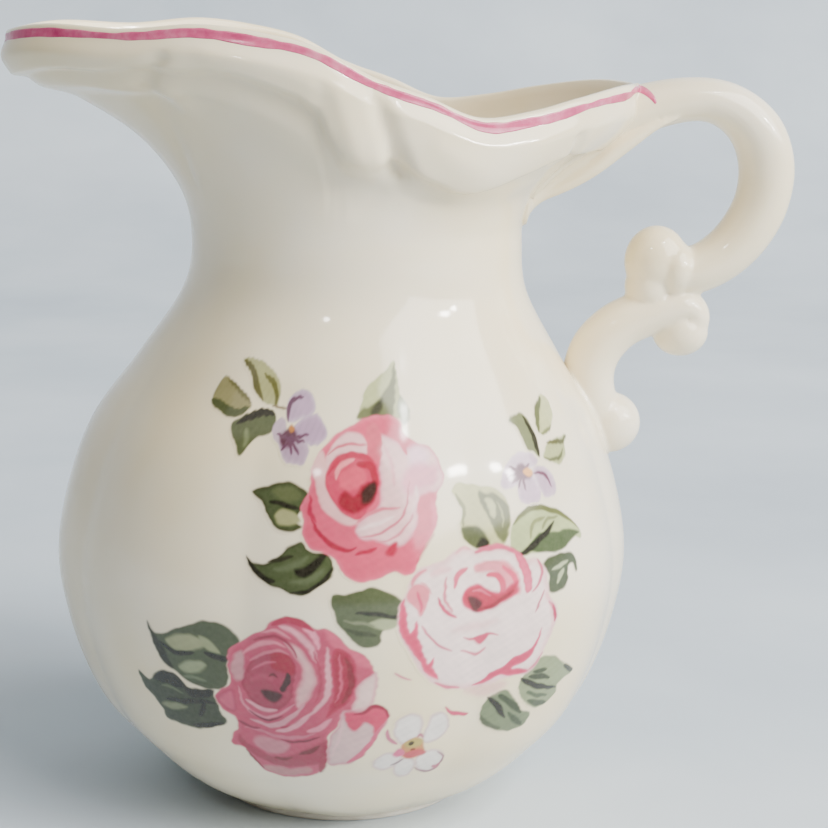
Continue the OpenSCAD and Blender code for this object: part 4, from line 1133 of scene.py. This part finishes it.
def make_transfers(mat):
    spray = Transfer(-38.5, 40, 13, 77, 1)
    for paint in (paint_rose_leaves, paint_blossom, paint_lower_rose, paint_upper_rose, paint_pale_rose):
        paint(spray)
    spray.build("rose_spray", "rose_spray_transfer", mat)
    left = Transfer(-32.5, -6, 62, 76.5, 2)
    paint_left_violet(left)
    left.build("left_violet", "left_violet_transfer", mat)
    right = Transfer(23, 43.5, 54.5, 70, 3)
    paint_right_violet(right)
    right.build("right_violet", "right_violet_transfer", mat)


# ---------------------------------------------------------------- materials

def material(name):
    mat = bpy.data.materials.new(name)
    mat.use_nodes = True
    nodes = mat.node_tree.nodes
    return mat, nodes, mat.node_tree.links, nodes["Principled BSDF"]


def add(nodes, kind, **inputs):
    node = nodes.new(kind)
    for key, value in inputs.items():
        node.inputs[key.replace("_", " ")].default_value = value
    return node


def object_place(nodes):
    return nodes.new("ShaderNodeTexCoord").outputs["Object"]


def noise(nodes, links, scale, detail=3.0, roughness=0.5):
    tex = add(nodes, "ShaderNodeTexNoise", Scale=scale, Detail=detail, Roughness=roughness)
    links.new(object_place(nodes), tex.inputs["Vector"])
    return tex.outputs["Fac"]


def ramp(nodes, links, fac, stops):
    node = nodes.new("ShaderNodeValToRGB")
    node.color_ramp.elements[0].position, node.color_ramp.elements[0].color = stops[0][0], stops[0][1] + (1,
        )
    node.color_ramp.elements[1].position = stops[-1][0]
    node.color_ramp.elements[1].color = stops[-1][1] + (1,)
    for position, colour in stops[1:-1]:
        node.color_ramp.elements.new(position).color = colour + (1,)
    links.new(fac, node.inputs["Fac"])
    return node.outputs["Color"]


def gloss(nodes, links, bsdf, low, high, bump, scale):
    """Slightly uneven gloss and the faint orange peel of a fired glaze."""
    span = nodes.new("ShaderNodeMapRange")
    links.new(noise(nodes, links, 90, 2), span.inputs["Value"])
    span.inputs["To Min"].default_value, span.inputs["To Max"].default_value = low, high
    links.new(span.outputs["Result"], bsdf.inputs["Roughness"])
    dent = add(nodes, "ShaderNodeBump", Strength=bump, Distance=0.0002)
    links.new(noise(nodes, links, scale, 2), dent.inputs["Height"])
    links.new(dent.outputs["Normal"], bsdf.inputs["Normal"])


GLAZE_LIGHT = (0.90, 0.81, 0.625)
GLAZE_WARM = (0.85, 0.72, 0.455)


def glaze_colour(nodes, links):
    return ramp(nodes, links, noise(nodes, links, 28, 3), [(0.35, GLAZE_LIGHT), (0.7, GLAZE_WARM)])


def glaze_material():
    mat, nodes, links, bsdf = material("glazed_porcelain")
    links.new(glaze_colour(nodes, links), bsdf.inputs["Base Color"])
    bsdf.inputs["IOR"].default_value = 1.52
    bsdf.inputs["Subsurface Weight"].default_value = 0.06
    bsdf.inputs["Subsurface Radius"].default_value = (0.004, 0.003, 0.002)
    bsdf.inputs["Subsurface Scale"].default_value = 0.5
    gloss(nodes, links, bsdf, 0.07, 0.13, 0.03, 260)
    return mat


def transfer_material():
    mat, nodes, links, bsdf = material("transfer")
    paint = nodes.new("ShaderNodeVertexColor")
    paint.layer_name = "paint"
    fleck = nodes.new("ShaderNodeMapRange")
    links.new(noise(nodes, links, 1400, 3), fleck.inputs["Value"])
    fleck.inputs["To Min"].default_value, fleck.inputs["To Max"].default_value = 0.95, 1.0
    cover = nodes.new("ShaderNodeMath")
    cover.operation = "MULTIPLY"
    links.new(paint.outputs["Alpha"], cover.inputs[0])
    links.new(fleck.outputs["Result"], cover.inputs[1])
    mix = nodes.new("ShaderNodeMix")
    mix.data_type = "RGBA"
    links.new(cover.outputs["Value"], mix.inputs["Factor"])
    links.new(glaze_colour(nodes, links), mix.inputs[6])
    rich = add(nodes, "ShaderNodeHueSaturation", Hue=0.485, Saturation=1.04, Value=1.02)
    links.new(paint.outputs["Color"], rich.inputs["Color"])
    deep = add(nodes, "ShaderNodeGamma", Gamma=1.42)
    links.new(rich.outputs["Color"], deep.inputs["Color"])
    links.new(deep.outputs["Color"], mix.inputs[7])
    links.new(mix.outputs[2], bsdf.inputs["Base Color"])
    bsdf.inputs["IOR"].default_value = 1.52
    gloss(nodes, links, bsdf, 0.08, 0.15, 0.03, 260)
    return mat


def bare_material():
    mat, nodes, links, bsdf = material("bare_porcelain")
    links.new(ramp(nodes, links, noise(nodes, links, 300, 6),
        [(0.3, (0.66, 0.60, 0.50)), (0.75, (0.80, 0.76, 0.68))]),
              bsdf.inputs["Base Color"])
    gloss(nodes, links, bsdf, 0.65, 0.9, 0.3, 1500)
    return mat


def enamel_material():
    mat, nodes, links, bsdf = material("pink_enamel")
    links.new(ramp(nodes, links, noise(nodes, links, 260, 4, 0.6),
                   [(0.25, (0.42, 0.035, 0.12)), (0.5, (0.60, 0.10, 0.21)), (0.8, (0.74, 0.30, 0.38))]),
              bsdf.inputs["Base Color"])
    gloss(nodes, links, bsdf, 0.10, 0.22, 0.05, 500)
    return mat


# ---------------------------------------------------------------- stage, light and camera

def area_light(name, place, target, size, power, colour):
    data = bpy.data.lights.new(name, "AREA")
    data.shape = "RECTANGLE"
    data.size, data.size_y = size
    data.energy = power
    data.color = colour
    obj = bpy.data.objects.new(name, data)
    bpy.context.scene.collection.objects.link(obj)
    obj.location = place
    obj.rotation_euler = (Vector(target) - Vector(place)).to_track_quat("-Z", "Y").to_euler()
    return obj


def make_stage():
    centre = (CAD_BOX[0] + CAD_BOX[1]) / 2
    mesh = bpy.data.meshes.new("floor")
    rows = [(-1.5, 0), (0.5, 0)]
    for i in range(13):
        a = math.radians(90 * i / 12)
        rows.append((0.5 + 0.5 * math.sin(a), 0.5 - 0.5 * math.cos(a)))
    rows.append((1.0, 2.2))
    points = [(x, y, z) for y, z in rows for x in (-2.5, 2.5)]
    faces = [(2 * i, 2 * i + 1, 2 * i + 3, 2 * i + 2) for i in range(len(rows) - 1)]
    mesh.from_pydata(points, [], faces)
    mesh.shade_smooth()
    obj = bpy.data.objects.new("floor", mesh)
    bpy.context.scene.collection.objects.link(obj)
    mat, nodes, links, bsdf = material("floor_pale")
    links.new(ramp(nodes, links, noise(nodes, links, 9, 4),
        [(0.3, (0.46, 0.53, 0.60)), (0.7, (0.60, 0.67, 0.73))]),
              bsdf.inputs["Base Color"])
    bsdf.inputs["Roughness"].default_value = 0.9
    mesh.materials.append(mat)
    return centre


def make_camera(centre):
    """Nearly level with the rim, a little round towards the spout, close and slightly tilted."""
    azimuth, elevation, distance = math.radians(-4), math.radians(12), 0.330
    aim = centre + Vector((0.0014, -0.0008, -0.0002))
    back = Vector((math.sin(azimuth) * math.cos(elevation), -math.cos(azimuth) * math.cos(elevation),
        math.sin(elevation)))
    data = bpy.data.cameras.new("camera")
    data.lens = 88.5
    data.sensor_width = 36
    data.clip_start, data.clip_end = 0.01, 20
    cam = bpy.data.objects.new("camera", data)
    bpy.context.scene.collection.objects.link(cam)
    eye = Vector((0, 0, 0.062)) + back * distance
    cam.location = eye
    cam.rotation_mode = "QUATERNION"
    look = (aim - eye).to_track_quat("-Z", "Y")
    roll = Vector((0, 0, 1))
    cam.rotation_quaternion = look @ Quaternion(roll, math.radians(0.85))
    bpy.context.scene.camera = cam
    return cam


def make_lights(centre):
    """A soft studio: a broad source high on the right, two small panes, and little light from the left."""
    side = Vector((1.50, -1.00, 1.30))
    area_light("broad", centre + side, centre, (2.1, 1.9), 128, (1.0, 0.98, 0.955))
    pane = centre + Vector((0.78, -0.49, 0.41)) * 1.15
    area_light("pane_a", pane + Vector((0, 0, 0.05)), centre, (0.10, 0.085), 3.6, (1.0, 0.98, 0.95))
    area_light("pane_b", pane + Vector((0.06, 0.09, -0.06)), centre, (0.07, 0.085), 2.4, (1.0, 0.98, 0.95))
    for name, way, size, power in (
        ("pane_c", (-0.35, -0.70, 0.62), (0.05, 0.07), 0.8),
        ("pane_d", (0.38, -0.48, 0.79), (0.06, 0.05), 1.0),
    ):
        area_light(name, centre + Vector(way) * 1.15, centre, size, power, (1.0, 0.98, 0.95))
    area_light("ceiling", centre + Vector((-0.25, -0.35, 1.3)), centre, (1.4, 1.1), 4, (0.98, 0.98, 1.0))
    world = bpy.data.worlds.new("studio")
    world.use_nodes = True
    nodes, links = world.node_tree.nodes, world.node_tree.links
    way = nodes.new("ShaderNodeTexCoord")
    split = nodes.new("ShaderNodeSeparateXYZ")
    links.new(way.outputs["Generated"], split.inputs["Vector"])
    shade = ramp(nodes, links, split.outputs["X"], [
        (0.0, (0.07, 0.052, 0.03)), (0.25, (0.09, 0.07, 0.045)), (0.62, (0.30, 0.29, 0.27)),
            (1.0, (0.62, 0.61, 0.58)),
    ])
    span = nodes.new("ShaderNodeMapRange")
    span.inputs["From Min"].default_value = -1
    links.new(split.outputs["X"], span.inputs["Value"])
    links.new(span.outputs["Result"], shade.node.inputs["Fac"])
    links.new(shade, nodes["Background"].inputs["Color"])
    nodes["Background"].inputs["Strength"].default_value = 1.0
    bpy.context.scene.world = world


# ---------------------------------------------------------------- the scene

glaze = glaze_material()
body = make_body()
body.data.materials.append(glaze)
handle_pieces = make_handle()
for piece in handle_pieces:
    piece.data.materials.append(glaze)
foot = make_foot()
foot.data.materials.append(bare_material())
rim_line = make_rim_line([body] + handle_pieces)
rim_line.data.materials.append(enamel_material())
make_transfers(transfer_material())

middle = make_stage()
make_camera(middle)
make_lights(middle)
